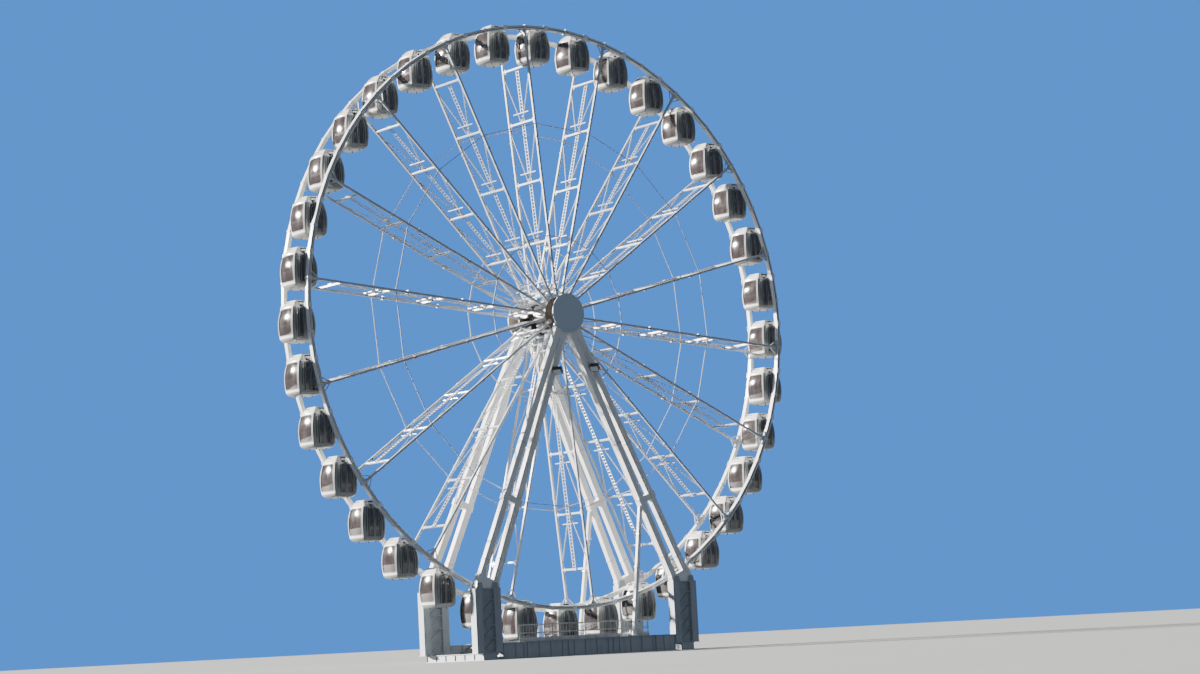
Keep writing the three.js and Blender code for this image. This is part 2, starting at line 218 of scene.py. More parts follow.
def zincLook(name, values):
    look, tree, shader, place = newLook(name)
    cells = addNode(tree, "ShaderNodeTexVoronoi", {"Vector": place, "Scale": 1 / values["spangleSize"]})
    wear = noise(tree, place, values["wearSize"], 5)
    zinc = mixColours(tree, spread(tree, cells, 0, 0.9, 0, 1), values["colour"], values["spangle"])
    worn = spread(tree, wear, 0.5, 0.8, 0, 0.6)
    fillIn(tree, shader, {
        "Base Color": mixColours(tree, worn, zinc, values["wearColour"]),
        "Roughness": spread(tree, wear, 0.3, 0.8, *values["rough"]),
        "Metallic": values["metal"],
        "Normal": bumped(tree, wear, *values["bump"]),
    })
    return look


steelPaint = {
    "colour": (0.84, 0.86, 0.87), "patches": (0.74, 0.76, 0.77), "patchSize": 0.9, "patchAmount": 0.5,
    "runs": (0.52, 0.50, 0.46), "runSize": 0.16, "runStretch": 0.12, "runAmount": 0.35,
    "rough": (0.28, 0.5), "grainSize": 0.012, "bump": (0.12, 0.002), "coat": 0.25, "metal": 0,
}

paintFinishes = {  # what differs from the steel paint
    "wheel_steel": {},
    # spoke_steel: a bluish grey well below the white wheel paint; on the spokes and hub sockets it is painted
    # shade of their white paint, and the rim joints share it
    "spoke_steel": {"colour": (0.52, 0.55, 0.59), "patches": (0.44, 0.46, 0.50)},
    "leg_steel": {"colour": (0.86, 0.86, 0.85), "patches": (0.77, 0.76, 0.73), "runAmount": 0.45},
    "hub_steel": {"colour": (0.27, 0.235, 0.215), "patches": (0.17, 0.145, 0.125), "patchSize": 0.22,
                  "patchAmount": 0.9, "runs": (0.42, 0.39, 0.36)},
    "hub_cover": {"colour": (0.50, 0.58, 0.65), "patches": (0.46, 0.54, 0.605),
                  "runs": (0.55, 0.62, 0.67), "rough": (0.42, 0.6), "coat": 0},
    "base_steel": {"colour": (0.36, 0.40, 0.43), "patches": (0.30, 0.33, 0.36),
                   "runs": (0.24, 0.22, 0.19), "runAmount": 0.6, "rough": (0.4, 0.62)},
    "cabin": {"colour": (0.83, 0.83, 0.80), "patches": (0.78, 0.775, 0.73), "patchSize": 0.35,
              "runs": (0.62, 0.59, 0.53), "runSize": 0.07, "runAmount": 0.22, "rough": (0.16, 0.3),
              "bump": (0.05, 0.002), "coat": 0.6},
    # cabin_side: a darker grey for the side panels, the side halves of the corners and the underside; it is
    # painted shade of the faces turned from the sun, laid over a slightly greyer panel
    "cabin_side": {"colour": (0.265, 0.275, 0.265), "patches": (0.23, 0.235, 0.225), "patchSize": 0.35,
                   "runs": (0.37, 0.365, 0.34), "runSize": 0.07, "rough": (0.22, 0.38),
                   "bump": (0.05, 0.002), "coat": 0.4},
    "cabin_dark": {"colour": (0.022, 0.022, 0.025), "patches": (0.035, 0.034, 0.034),
                   "runs": (0.06, 0.058, 0.055), "rough": (0.55, 0.8), "grainSize": 0.004,
                   "bump": (0.3, 0.002), "coat": 0},
    "cabin_seat": {"colour": (0.085, 0.020, 0.017), "patches": (0.065, 0.018, 0.016),
                   "runs": (0.10, 0.05, 0.04), "rough": (0.38, 0.55), "grainSize": 0.003,
                   "bump": (0.35, 0.002), "coat": 0},
    "light_strip": {"colour": (0.66, 0.68, 0.69), "patches": (0.58, 0.60, 0.61), "rough": (0.3, 0.45)},
    "lamp": {"colour": (0.035, 0.037, 0.042), "patches": (0.05, 0.05, 0.055),
             "runs": (0.10, 0.095, 0.09), "rough": (0.35, 0.6), "coat": 0},
    "cabin_frame": {"colour": (0.27, 0.28, 0.29), "patches": (0.22, 0.23, 0.24),
                    "runs": (0.36, 0.36, 0.35), "metal": 0.5, "rough": (0.25, 0.42),
                    "grainSize": 0.006, "coat": 0},
}

windowGlass = {
    # the door panes' lighter blue-grey is painted reflection of the bright surroundings in the side glass,
    # over its own tint
    "colour": (0.040, 0.031, 0.032), "doorTintAndReflection": (0.095, 0.10, 0.115), "dustColour": (0.12, 0.105, 0.10),
    "dust": 0.5, "smearSize": 0.25, "waveSize": 0.35, "rough": (0.05, 0.12), "coatRough": 0.05,
    "alpha": 0.74, "bump": (0.25, 0.01),
}

treadZinc = {
    "colour": (0.46, 0.475, 0.49), "spangle": (0.60, 0.615, 0.63), "spangleSize": 0.02,
    "wearColour": (0.33, 0.33, 0.33), "wearSize": 0.3, "metal": 0.8, "rough": (0.32, 0.58),
    "bump": (0.1, 0.003),
}


def makeLooks():
    looks = {name: paintLook(name, {**steelPaint, **own}) for name, own in paintFinishes.items()}
    looks["cabin_glass"] = glassLook("cabin_glass", windowGlass)
    looks["platform"] = zincLook("platform", treadZinc)
    return looks


def makeFloor():
    size = light["floorSize"]
    form = bmesh.new()
    form.faces.new([form.verts.new((x * size, y * size, 0)) for x, y in ((-1, -1), (1, -1), (1, 1), (-1, 1))])
    floor = addToScene("floor", meshOf(form, False))
    look, tree, shader, place = newLook("floorPaint")
    spots = noise(tree, place, light["spotSize"], 6)
    paint = mixColours(tree, spots, light["floorColour"], light["floorSpots"])
    fillIn(tree, shader, {"Base Color": paint, "Roughness": light["floorRough"]})
    floor.data.materials.append(look)
    floor.visible_diffuse = False


# Mesh helpers: those that start with add put one closed body each into a form
def bridge(form, low, high):
    for place in range(len(low)):
        after = (place + 1) % len(low)
        form.faces.new((low[place], low[after], high[after], high[place]))


def addLoft(form, rings, looped=False):
    rows = [[form.verts.new(point) for point in ring] for ring in rings]
    for low, high in zip(rows, rows[1:]):
        bridge(form, low, high)
    if looped:
        bridge(form, rows[-1], rows[0])
    else:
        form.faces.new(rows[0][::-1])
        form.faces.new(rows[-1])


def chamfered(width, depth, edge):
    a, b = width / 2, depth / 2
    half = [(a - edge, -b), (a, -b + edge), (a, b - edge), (a - edge, b)]
    return half + [(-u, -v) for u, v in half]


def addBar(form, start, end, width, depth, across, edge=0.006):
    along = (end - start).normalized()
    side = (across - along * across.dot(along)).normalized()
    third = along.cross(side)
    section = chamfered(width, depth, edge)
    addLoft(form, [[point + side * u + third * v for u, v in section] for point in (start, end)])


def addBox(form, low, high, edge=0.004):
    low, high = Vector(low), Vector(high)
    middle, size = (low + high) / 2, high - low
    rise = at(0, 0, size.z / 2)
    addBar(form, middle - rise, middle + rise, size.x, size.y, rightWay, min(edge, size.x / 3, size.y / 3))


def boxAcross(form, x, halfX, y, halfY, low, high, edge=0.004):
    addBox(form, (x - halfX, y - halfY, low), (x + halfX, y + halfY, high), edge)


def turnsOf(count, phase=0.0):
    return [2 * pi * (place + phase) / count for place in range(count)]


def addTurned(form, base, way, profile, sides):
    way = way.normalized()
    across = (rightWay - way * rightWay.dot(way)).normalized()
    if abs(way.dot(rightWay)) >= 0.9:
        across = way.orthogonal().normalized()
    third = way.cross(across)
    rings = []
    for radius, height in profile:
        centre = base + way * height
        spots = [(radius * cos(turn), radius * sin(turn)) for turn in turnsOf(sides)]
        rings.append([centre + across * u + third * v for u, v in spots])
    addLoft(form, rings)


def addTube(form, start, end, radius, sides=8):
    addTurned(form, start, end - start, [(radius, 0), (radius, (end - start).length)], sides)


def addPlate(form, outline, origin, u, v, thickness):
    lift = u.cross(v).normalized() * (thickness / 2)
    flat = [origin + u * a + v * b for a, b in outline]
    addLoft(form, [[point - lift for point in flat], [point + lift for point in flat]])


def addBolts(form, places, way, radius=0.010):
    for place in places:
        addTurned(form, place, way, [(radius, -0.004), (radius, radius * 0.9)], 6)


def flangeSpots(outX, outY, alongX, alongY):
    return [(x, y) for x in (-outX, outX) for y in alongY] + [(x, y) for x in alongX for y in (-outY, outY)]


def wheelPoint(radius, turn, y):
    return at(radius * sin(turn), y, radius * cos(turn))


def meshOf(form, outward=True):
    if outward:
        bmesh.ops.recalc_face_normals(form, faces=form.faces)
    mesh = bpy.data.meshes.new("shape")
    form.to_mesh(mesh)
    form.free()
    return mesh


def joined(*meshes):
    form = bmesh.new()
    for mesh in meshes:
        form.from_mesh(mesh)
    return meshOf(form, False)


def applied(holder):
    graph = bpy.context.evaluated_depsgraph_get()
    mesh = bpy.data.meshes.new_from_object(holder.evaluated_get(graph), depsgraph=graph)
    bpy.data.objects.remove(holder)
    return mesh


# Geometry Nodes trees: copies in a row or round the axle, and pipes along paths
def newTree(name, inputs):
    tree = bpy.data.node_groups.new(name, "GeometryNodeTree")
    tree.interface.new_socket("Geometry", in_out="OUTPUT", socket_type="NodeSocketGeometry")
    for title, kind in {"Geometry": "Geometry", **inputs, "material": "Material"}.items():
        tree.interface.new_socket(title, in_out="INPUT", socket_type="NodeSocket" + kind)
    return tree, tree.nodes.new("NodeGroupInput").outputs


def endTree(tree, given, geometry):
    real = addNode(tree, "GeometryNodeRealizeInstances", {"Geometry": geometry})
    dressed = addNode(tree, "GeometryNodeSetMaterial", {"Geometry": real, "Material": given["material"]})
    fillIn(tree, tree.nodes.new("NodeGroupOutput"), {"Geometry": dressed})
    return tree


def copiesTree():
    inputs = {"count": "Int", "start": "Vector", "step": "Vector", "turn": "Float", "turnStep": "Float"}
    tree, given = newTree("copiesInRowOrRound", inputs)
    values = {"Count": given["count"], "Start Location": given["start"], "Offset": given["step"]}
    line = addNode(tree, "GeometryNodeMeshLine", values)
    terms = {0: addNode(tree, "GeometryNodeInputIndex", {}), 1: given["turnStep"], 2: given["turn"]}
    turn = addNode(tree, "ShaderNodeMath", terms, operation="MULTIPLY_ADD")
    angles = addNode(tree, "ShaderNodeCombineXYZ", {"Y": turn})  # about the axle
    rotation = addNode(tree, "FunctionNodeEulerToRotation", {"Euler": angles})
    values = {"Points": line, "Instance": given["Geometry"], "Rotation": rotation}
    return endTree(tree, given, addNode(tree, "GeometryNodeInstanceOnPoints", values))


def pipeTree():
    tree, given = newTree("pipeAlongEdges", {"radius": "Float", "sides": "Int"})
    path = addNode(tree, "GeometryNodeMeshToCurve", {"Mesh": given["Geometry"]})
    values = {"Resolution": given["sides"], "Radius": given["radius"]}
    ring = addNode(tree, "GeometryNodeCurvePrimitiveCircle", values)
    values = {"Curve": path, "Profile Curve": ring, "Fill Caps": True}
    return endTree(tree, given, addNode(tree, "GeometryNodeCurveToMesh", values))


copies, pipes = copiesTree(), pipeTree()


def throughTree(mesh, tree, look, **values):
    holder = addToScene("holder", mesh)
    modifier = holder.modifiers.new("shape", "NODES")
    modifier.node_group = tree
    values["material"] = looks[look]
    for item in tree.interface.items_tree:
        if item.in_out == "INPUT" and item.name in values:
            modifier[item.identifier] = values[item.name]
    return applied(holder)


def repeated(mesh, look, **values):
    return throughTree(mesh, copies, look, **values)


def alongPaths(paths, radius, sides, look):
    form = bmesh.new()
    for path in paths:
        points = [form.verts.new(point) for point in path]
        for ends in zip(points, points[1:]):
            form.edges.new(ends)
    return throughTree(meshOf(form, False), pipes, look, radius=radius, sides=sides)


sharpTurn = radians(34)


def makePiece(name, shape, look, node=None, body="stand", place=(0, 0, 0)):
    mesh = meshOf(shape) if isinstance(shape, bmesh.types.BMesh) else shape
    mesh.transform(Matrix.Translation(place))
    mesh.name = name
    mesh.materials.clear()
    mesh.materials.append(looks[look])
    mesh.shade_smooth()
    mesh.set_sharp_from_angle(angle=sharpTurn)
    piece = addToScene(name, mesh)
    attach(piece, body)
    if node:
        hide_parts(node)


def softened(node, edge):
    form = bmesh.new()
    form.from_mesh(frame["nodes"][node].data)
    bmesh.ops.remove_doubles(form, verts=form.verts, dist=0.0001)
    bmesh.ops.dissolve_limit(form, angle_limit=radians(1), verts=form.verts, edges=form.edges)
    corners = [e for e in form.edges if len(e.link_faces) == 2 and e.calc_face_angle() > sharpTurn]
    bmesh.ops.bevel(form, geom=corners, offset=edge, segments=1, affect="EDGES", clamp_overlap=True)
    return meshOf(form)


makeCamera()
makeLight()
looks = makeLooks()
makeFloor()
print("camera, light and", len(looks), "finishes made")

# Cabins: a moulded shell with curved walls, given as distances from the pivot line
cabin = {
    "belly": -0.62, "halfX": 0.462, "halfY": 0.50, "inX": (0.28, 0.19), "inY": (0.21, 0.17), "wall": 0.024,
    "corner": 0.08, "cornerSteps": 4, "cornerSplit": 0.4, "endBulge": 0.028, "sideBulge": 0.008,
    "floor": -1.19, "lip": 0.14, "skirt": -1.07, "hanger": 0.09,
    "rows": (-1.190, -1.185, -1.172, -1.150, -1.122, -1.092, -1.064, -1.040, -0.985, -0.870, -0.745, -0.620,
             -0.490, -0.360, -0.240, -0.120, -0.085, -0.060, -0.045),
    "endCuts": (-1, -0.975, -0.65, -0.325, 0, 0.325, 0.65, 0.975, 1),  # shares of the flat part's half width
    "endGlass": (0.975, -0.985, -0.060),  # share of the width, sill, head
    "sideBands": ((0.022, "dark"), (0.078, "frame"), (0.55, "glass"), (0.59, "side"), (0.69, "dark"),
                  (0.84, "side"), (0.91, "dark"), (1, "side")),
    "doorHeights": (-1.040, -0.085),
    "slitHeights": (-0.870, -0.120),
    "roof": ((-0.042, 0.364, 0.426, 0.08), (-0.039, 0.374, 0.436, 0.08), (-0.021, 0.372, 0.434, 0.08),
             (-0.016, 0.362, 0.424, 0.08), (0.184, 0.212, 0.322, 0.06), (0.196, 0.198, 0.308, 0.055),
             (0.200, 0.178, 0.288, 0.05)),  # height, half length, half depth, corner
}


def halfSize(z, half, upper, lower):
    off = z - cabin["belly"]
    lip = cabin["lip"]
    sunk = max(cabin["floor"] + lip - z, 0)
    return half - (upper if off > 0 else lower) * off * off - (lip - sqrt(max(lip * lip - sunk * sunk, 0)))


def planSpot(station, z, flatX, flatY, out, endBulge, sideBulge):
    face, sign, share = station
    swell = 1 - share * share
    if face == "end":
        return at(sign * (flatX + out + endBulge * swell), share * flatY, z)
    if face == "side":
        return at(share * flatX, sign * (flatY + out + sideBulge * swell), z)
    return at(sign[0] * (flatX + out * cos(share)), sign[1] * (flatY + out * sin(share)), z)


def wallSpot(station, z, inset=0.0):
    corner = cabin["corner"]
    flatX = halfSize(z, cabin["halfX"], *cabin["inX"]) - corner
    flatY = halfSize(z, cabin["halfY"], *cabin["inY"]) - corner
    return planSpot(station, z, flatX, flatY, corner - inset, cabin["endBulge"], cabin["sideBulge"])


def planStations():
    steps = cabin["cornerSteps"]
    turns = [pi / 2 * (place + 1) / (steps + 1) for place in range(steps)]
    edges = [edge for edge, kind in cabin["sideBands"]]
    sideCuts = [-edge for edge in reversed(edges)] + edges
    stations = []
    for sign in (1, -1):
        stations += [("end", sign, sign * cut) for cut in cabin["endCuts"]]
        stations += [("corner", (sign, sign), turn) for turn in turns]
        stations += [("side", sign, -sign * cut) for cut in sideCuts]
        stations += [("corner", (-sign, sign), turn) for turn in reversed(turns)]
    return stations


def cellKind(first, second, low, high):
    turns = [{"end": 0, "side": pi / 2}.get(face, share) for face, sign, share in (first, second)]
    # Cells below the skirt, and corner cells turned past cornerSplit towards the sides, take the darker side
    # grey: painted shade where the faces turn away from the sun
    plain = "side" if low < cabin["skirt"] or sum(turns) > 2 * cabin["cornerSplit"] else "shell"
    if first[0] != second[0] or first[0] == "corner":
        return plain
    across, z = abs(first[2] + second[2]) / 2, (low + high) / 2
    if first[0] == "end":
        reach, sill, head = cabin["endGlass"]
        return "glass" if across < reach and sill < z < head else plain
    sill, head = cabin["doorHeights"]
    if not sill < z < head:
        return plain
    bands = [kind for edge, kind in cabin["sideBands"] if across < edge]
    slitLow, slitHigh = cabin["slitHeights"]
    return "side" if len(bands) == 2 and not slitLow < z < slitHigh else bands[0]


def wallGrid(wanted, inset, thickness):
    form = bmesh.new()
    stations, rows = planStations(), cabin["rows"]
    count, last = len(stations), len(rows) - 1
    spots = {}

    def corner(place, row):
        key = (place % count, row)
        if key not in spots:
            spots[key] = form.verts.new(wallSpot(stations[key[0]], rows[row], inset))
        return spots[key]

    for place in range(count):
        for row in range(last):
            if cellKind(stations[place], stations[(place + 1) % count], rows[row], rows[row + 1]) == wanted:
                ends = ((place, row), (place + 1, row), (place + 1, row + 1), (place, row + 1))
                form.faces.new([corner(*end) for end in ends])
    if wanted == "shell":
        rings = [[corner(place, last) for place in range(count)]]
        for z, halfX, halfY, turned in cabin["roof"]:
            sizes = (halfX - turned, halfY - turned, turned, cabin["endBulge"], 0)
            rings.append([form.verts.new(planSpot(station, z, *sizes)) for station in stations])
        for low, high in zip(rings, rings[1:]):
            bridge(form, low, high)
        form.faces.new(rings[-1])
    if wanted == "side":
        form.faces.new([corner(place, 0) for place in reversed(range(count))])
    holder = addToScene("holder", meshOf(form))
    wall = holder.modifiers.new("wall", "SOLIDIFY")
    wall.thickness, wall.offset = thickness, -1
    return applied(holder)


windows = {  # outer and inner edges of the ring, how far it stands out and how deep it is let in
    "end": {"half": 0.975, "low": -0.985, "high": -0.060, "outer": 0.006, "inner": 0.005,
            "round": (0.030, 0.070), "proud": 0.010, "sunk": 0.016},
    "door": {"middle": 0.314, "half": 0.236, "low": -1.040, "high": -0.085, "outer": 0.004, "inner": 0.010,
             "round": (0.010, 0.028), "proud": 0.006, "sunk": 0.016},
}
windows["gasket"] = {**windows["end"], "outer": -0.005, "inner": 0.026, "round": (0.070, 0.060),
                     "proud": 0.004, "sunk": 0.02}
doorEdge = 0.30  # panes nearer the middle than this are the door's
arcSteps = 4
longestEdge = 0.14


def roundedPath(half, low, high, radius):
    path = []
    corners = ((1, high - radius), (-1, high - radius), (-1, low + radius), (1, low + radius))
    for quarter, (side, z) in enumerate(corners):
        for step in range(arcSteps + 1):
            turn = pi / 2 * (quarter + step / arcSteps)
            path.append((side * (half - radius) + radius * cos(turn), z + radius * sin(turn)))
    full = []
    for (x, z), (nextX, nextZ) in zip(path, path[1:] + path[:1]):
        cuts = int(max(abs(nextX - x), abs(nextZ - z)) / longestEdge) + 1
        full += [(x + (nextX - x) * cut / cuts, z + (nextZ - z) * cut / cuts) for cut in range(cuts)]
    return full


def addWindowRing(form, face, sign, window, middle=0):
    flat = (cabin["halfY"] if face == "end" else cabin["halfX"]) - cabin["corner"]
    low, high, proud = window["low"], window["high"], window["proud"]
    paths = []
    for grow, radius in zip((window["outer"], -window["inner"]), window["round"]):
        paths.append(roundedPath(window["half"] * flat + grow, low - grow, high + grow, radius))
    lip = -proud * 0.6
    section = ((0, 0.004), (0, lip), (0.25, -proud), (0.75, -proud), (1, lip), (1, window["sunk"]))
    rings = []
    for (outX, outZ), (inX, inZ) in zip(*paths):
        ring = []
        for share, inset in section:
            x, z = outX + (inX - outX) * share, outZ + (inZ - outZ) * share
            ring.append(wallSpot((face, sign, middle + x / flat), z, inset))
        rings.append(ring)
    addLoft(form, rings, looped=True)


def cabinPanes():
    mesh = wallGrid("glass", 0.009, 0.005)
    marks = mesh.attributes.new("doorPane", "FLOAT", "POINT")
    marks.data.foreach_set("value", [1.0 if abs(point.co.x) < doorEdge else 0.0 for point in mesh.vertices])
    return mesh


def cabinFrames():
    form = bmesh.new()
    door = windows["door"]
    for sign in both:
        for half in both:
            addWindowRing(form, "side", sign, door, half * door["middle"])
    return joined(meshOf(form), wallGrid("frame", -0.003, 0.02))


roofParts = {  # the side that it is on, its two ends, low and high edge, how far it stands out
    "slot": ("side", -0.125, 0.125, 0.122, 0.162, 0.006),
    "box": ("side", -0.135, 0.11, 0.045, 0.112, 0.045),
    # gap: a near-black plate round the hanger on each roof side, painted shadow of the recess between roof
    # and hanger
    "gap": ("side", -0.12, 0.17, -0.028, 0.036, 0.012),
    "ventNear": ("end", -0.025, 0.075, 0.128, 0.160, 0.005),
    "ventFar": ("end", 0.120, 0.220, 0.128, 0.160, 0.005),
    "letIn": 0.02,
}
cabinFeet = {"x": 0.19, "y": 0.22, "low": -0.030, "profile": ((0.012, 0), (0.020, 0.008), (0.020, 0.032))}


def addRoofPart(form, sign, name):
    face, left, right, low, high, proud = roofParts[name]
    axis, bulge = (1, cabin["endBulge"]) if face == "end" else (2, 0)
    foot, top = cabin["roof"][3:5]
    spots = []
    for z in (low, high):
        edge = foot[axis] + (top[axis] - foot[axis]) * (z - foot[0]) / (top[0] - foot[0]) + bulge
        inner, outer = sign * (edge - roofParts["letIn"]), sign * (edge + proud)
        for across, out in ((left, inner), (right, inner), (right, outer), (left, outer)):
            spots.append(at(out, across, z) if face == "end" else at(across, out, z))
    addLoft(form, [spots[:4], spots[4:]])


def cabinDarks():
    form = bmesh.new()
    for sign in both:
        # the gap part is painted shadow round the hanger
        for name in ("slot", "gap", "ventNear", "ventFar"):
            addRoofPart(form, sign, name)
    for sign in both:
        addWindowRing(form, "end", sign, windows["gasket"])
    for x in both:
        for y in both:
            foot = at(x * cabinFeet["x"], y * cabinFeet["y"], cabin["floor"] + cabinFeet["low"])
            addTurned(form, foot, upWay, cabinFeet["profile"], 8)
    return joined(meshOf(form), wallGrid("dark", 0.012, 0.012))


seat = {
    "halfY": 0.385,
    "profile": ((0.395, -0.64), (0.355, -0.625), (0.325, -0.66), (0.305, -0.83), (0.270, -0.875),
                (0.13, -0.865), (0.085, -0.880), (0.085, -0.915), (0.105, -0.96), (0.125, -1.13),
                (0.335, -1.13), (0.40, -0.95), (0.418, -0.74)),
    "rail": ((0.425, -0.590), (0.345, -0.575), (0.325, -0.60), (0.328, -0.68), (0.35, -0.697),
             (0.430, -0.685)),
    "cuts": (-1, -0.97, -0.40, -0.345, -0.29, 0.29, 0.345, 0.40, 0.97, 1),
    "dips": (0.012, 0, 0, 0.012, 0, 0, 0.012, 0, 0, 0.012),  # grooves between the places
    "dipsBefore": 0.35,
}
lining = {
    "mat": ((-0.28, -0.32, -1.164), (0.28, 0.32, -1.154)),
    "pole": (-1.158, -0.02, 0.016),
    "tableAt": -0.78,
    "table": ((0.06, 0), (0.15, 0.012), (0.15, 0.024), (0.02, 0.03)),
}


def cabinShell():
    form = bmesh.new()
    reach, half = -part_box("rim_front")[1].y - 0.001, cabin["hanger"] / 2
    boxAcross(form, 0, half, 0, reach, -half, half, 0.008)
    for sign in both:
        addWindowRing(form, "end", sign, windows["end"])
        addRoofPart(form, sign, "box")
        addLoft(form, [[at(sign * x, end * seat["halfY"], z) for x, z in seat["rail"]] for end in both])
    return joined(meshOf(form), wallGrid("shell", 0, cabin["wall"]))


def cabinSeats():
    form = bmesh.new()
    for sign in both:
        rings = []
        for cut, dip in zip(seat["cuts"], seat["dips"]):
            dipped = [(x + (dip if x < seat["dipsBefore"] else 0), z) for x, z in seat["profile"]]
            rings.append([at(sign * x, cut * seat["halfY"], z) for x, z in dipped])
        addLoft(form, rings)
    return meshOf(form)


def cabinLining():
    form = bmesh.new()
    addBox(form, *lining["mat"], 0.002)
    low, high, radius = lining["pole"]
    addTube(form, at(0, 0, low), at(0, 0, high), radius, 10)
    addTurned(form, at(0, 0, lining["tableAt"]), upWay, lining["table"], 16)
    return meshOf(form)


def makeCabins():
    parts = {
        "Shell": ("cabin", cabinShell()),
        "Sides": ("cabin_side", wallGrid("side", 0, cabin["wall"])),
        "Frames": ("cabin_frame", joined(cabinFrames(), cabinLining())),
        "Darks": ("cabin_dark", cabinDarks()),
        "Glass": ("cabin_glass", cabinPanes()),
        "Seats": ("cabin_seat", cabinSeats()),
    }
    for node in cabinNames:
        for part, (look, mesh) in parts.items():
            stands = node if part == "Shell" else None
            makePiece("cabin" + part + node[-3:], mesh.copy(), look, stands, node, pivots[node])
    print("cabins made:", sum(len(mesh.polygons) for look, mesh in parts.values()), "faces each")


makeCabins()

# Rims: box beams in straight lengths, one for each cabin, with flanged joints between them
rim = {
    "edge": 0.012, "jointGap": 0.010, "flange": 0.014, "flangeProud": 0.018, "bandHalf": 0.026,
    "bandProud": 0.014, "boltOff": 0.004, "bolt": 0.009,
    "backing": (-0.038, 0.030, 0.012),  # inner and outer edge from the pivots' circle, thickness
    "light": (0.008, 0.014),  # off that circle, radius
    "plate": (0.095, 0.0855, 0.016),  # half width, half height, thickness
    "boss": ((0.062, -0.004), (0.058, 0.02), (0.03, 0.026)),
    "plateBolts": (0.075, 0.062, 0.010),
}


def makeRim(face, side):
    node = "rim_" + face
    low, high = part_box(node)
    half = (high.y - low.y) / 2
    tall = 2 * (high.z - hub.z - wheelRadius)
    halfTurn, gap, bandTurn = cabinTurn / 2, rim["jointGap"] / wheelRadius, rim["bandHalf"] / wheelRadius
    steel, dark, backing, strip = bmesh.new(), bmesh.new(), bmesh.new(), bmesh.new()

    def sweep(form, section, turns):
        addLoft(form, [[wheelPoint(wheelRadius + u, turn, v) for u, v in section] for turn in turns])

    def beam(proud=0.0):
        return chamfered(tall + 2 * proud, 2 * (half + proud), rim["edge"])

    sweep(steel, beam(), (gap - halfTurn, 0, halfTurn - gap))
    u, v = tall / 2 + rim["boltOff"], half + rim["boltOff"]
    ring = flangeSpots(u, v, (-0.5 * u, 0.5 * u), (-0.5 * v, 0.5 * v))
    for end in both:
        turns = [end * (halfTurn - gap - share * rim["flange"] / wheelRadius) for share in (0, 1)]
        sweep(steel, beam(rim["flangeProud"]), turns)
        bolts = [wheelPoint(wheelRadius + u, turns[1], v) for u, v in ring]
        addBolts(steel, bolts, wheelPoint(1, turns[1] + pi / 2, 0) * -end, rim["bolt"])
    sweep(dark, beam(rim["bandProud"]), (halfTurn - bandTurn, halfTurn + bandTurn))
    turns = [share * (halfTurn - 2 * bandTurn) for share in (-1, 0, 1)]
    inner, outer, thick = rim["backing"]
    near, far = sorted((side * (half - 0.002), side * (half + thick)))
    sweep(backing, ((inner, near), (outer, near), (outer, far), (inner, far)), turns)
    off, radius = rim["light"]
    y = side * (half + thick + radius * 0.6)
    tube = [(off + radius * cos(turn), y + radius * sin(turn)) for turn in turnsOf(8)]
    sweep(strip, tube, turns)
    for sign in both:
        addBearingPlate(steel, half, sign)
    for name, form, look, stands in (
        ("rimBeams", steel, "wheel_steel", node),
        ("rimJoints", dark, "spoke_steel", None),
        ("rimBacking", backing, "cabin_frame", None),
        ("rimLights", strip, "light_strip", None),
    ):
        bmesh.ops.translate(form, verts=form.verts, vec=(0, (low.y + high.y) / 2, 0))
        mesh = repeated(meshOf(form), look, count=len(cabinNames), turnStep=cabinTurn)
        makePiece(name + "_" + face, mesh, look, stands, "wheel", hub)


def addBearingPlate(form, half, sign):
    halfX, halfZ, thick = rim["plate"]
    start, end = sorted((sign * (half - 0.004), sign * (half + thick)))
    addBox(form, (-halfX, start, wheelRadius - halfZ), (halfX, end, wheelRadius + halfZ), 0.008)
    centre = at(0, sign * (half + thick), wheelRadius)
    addTurned(form, centre, axleWay * sign, rim["boss"], 16)
    x, z, radius = rim["plateBolts"]
    addBolts(form, [centre + at(u * x, 0, v * z) for u in both for v in both], axleWay * sign, radius)


for faceName, faceSide in faces:
    makeRim(faceName, faceSide)
print("rims made")

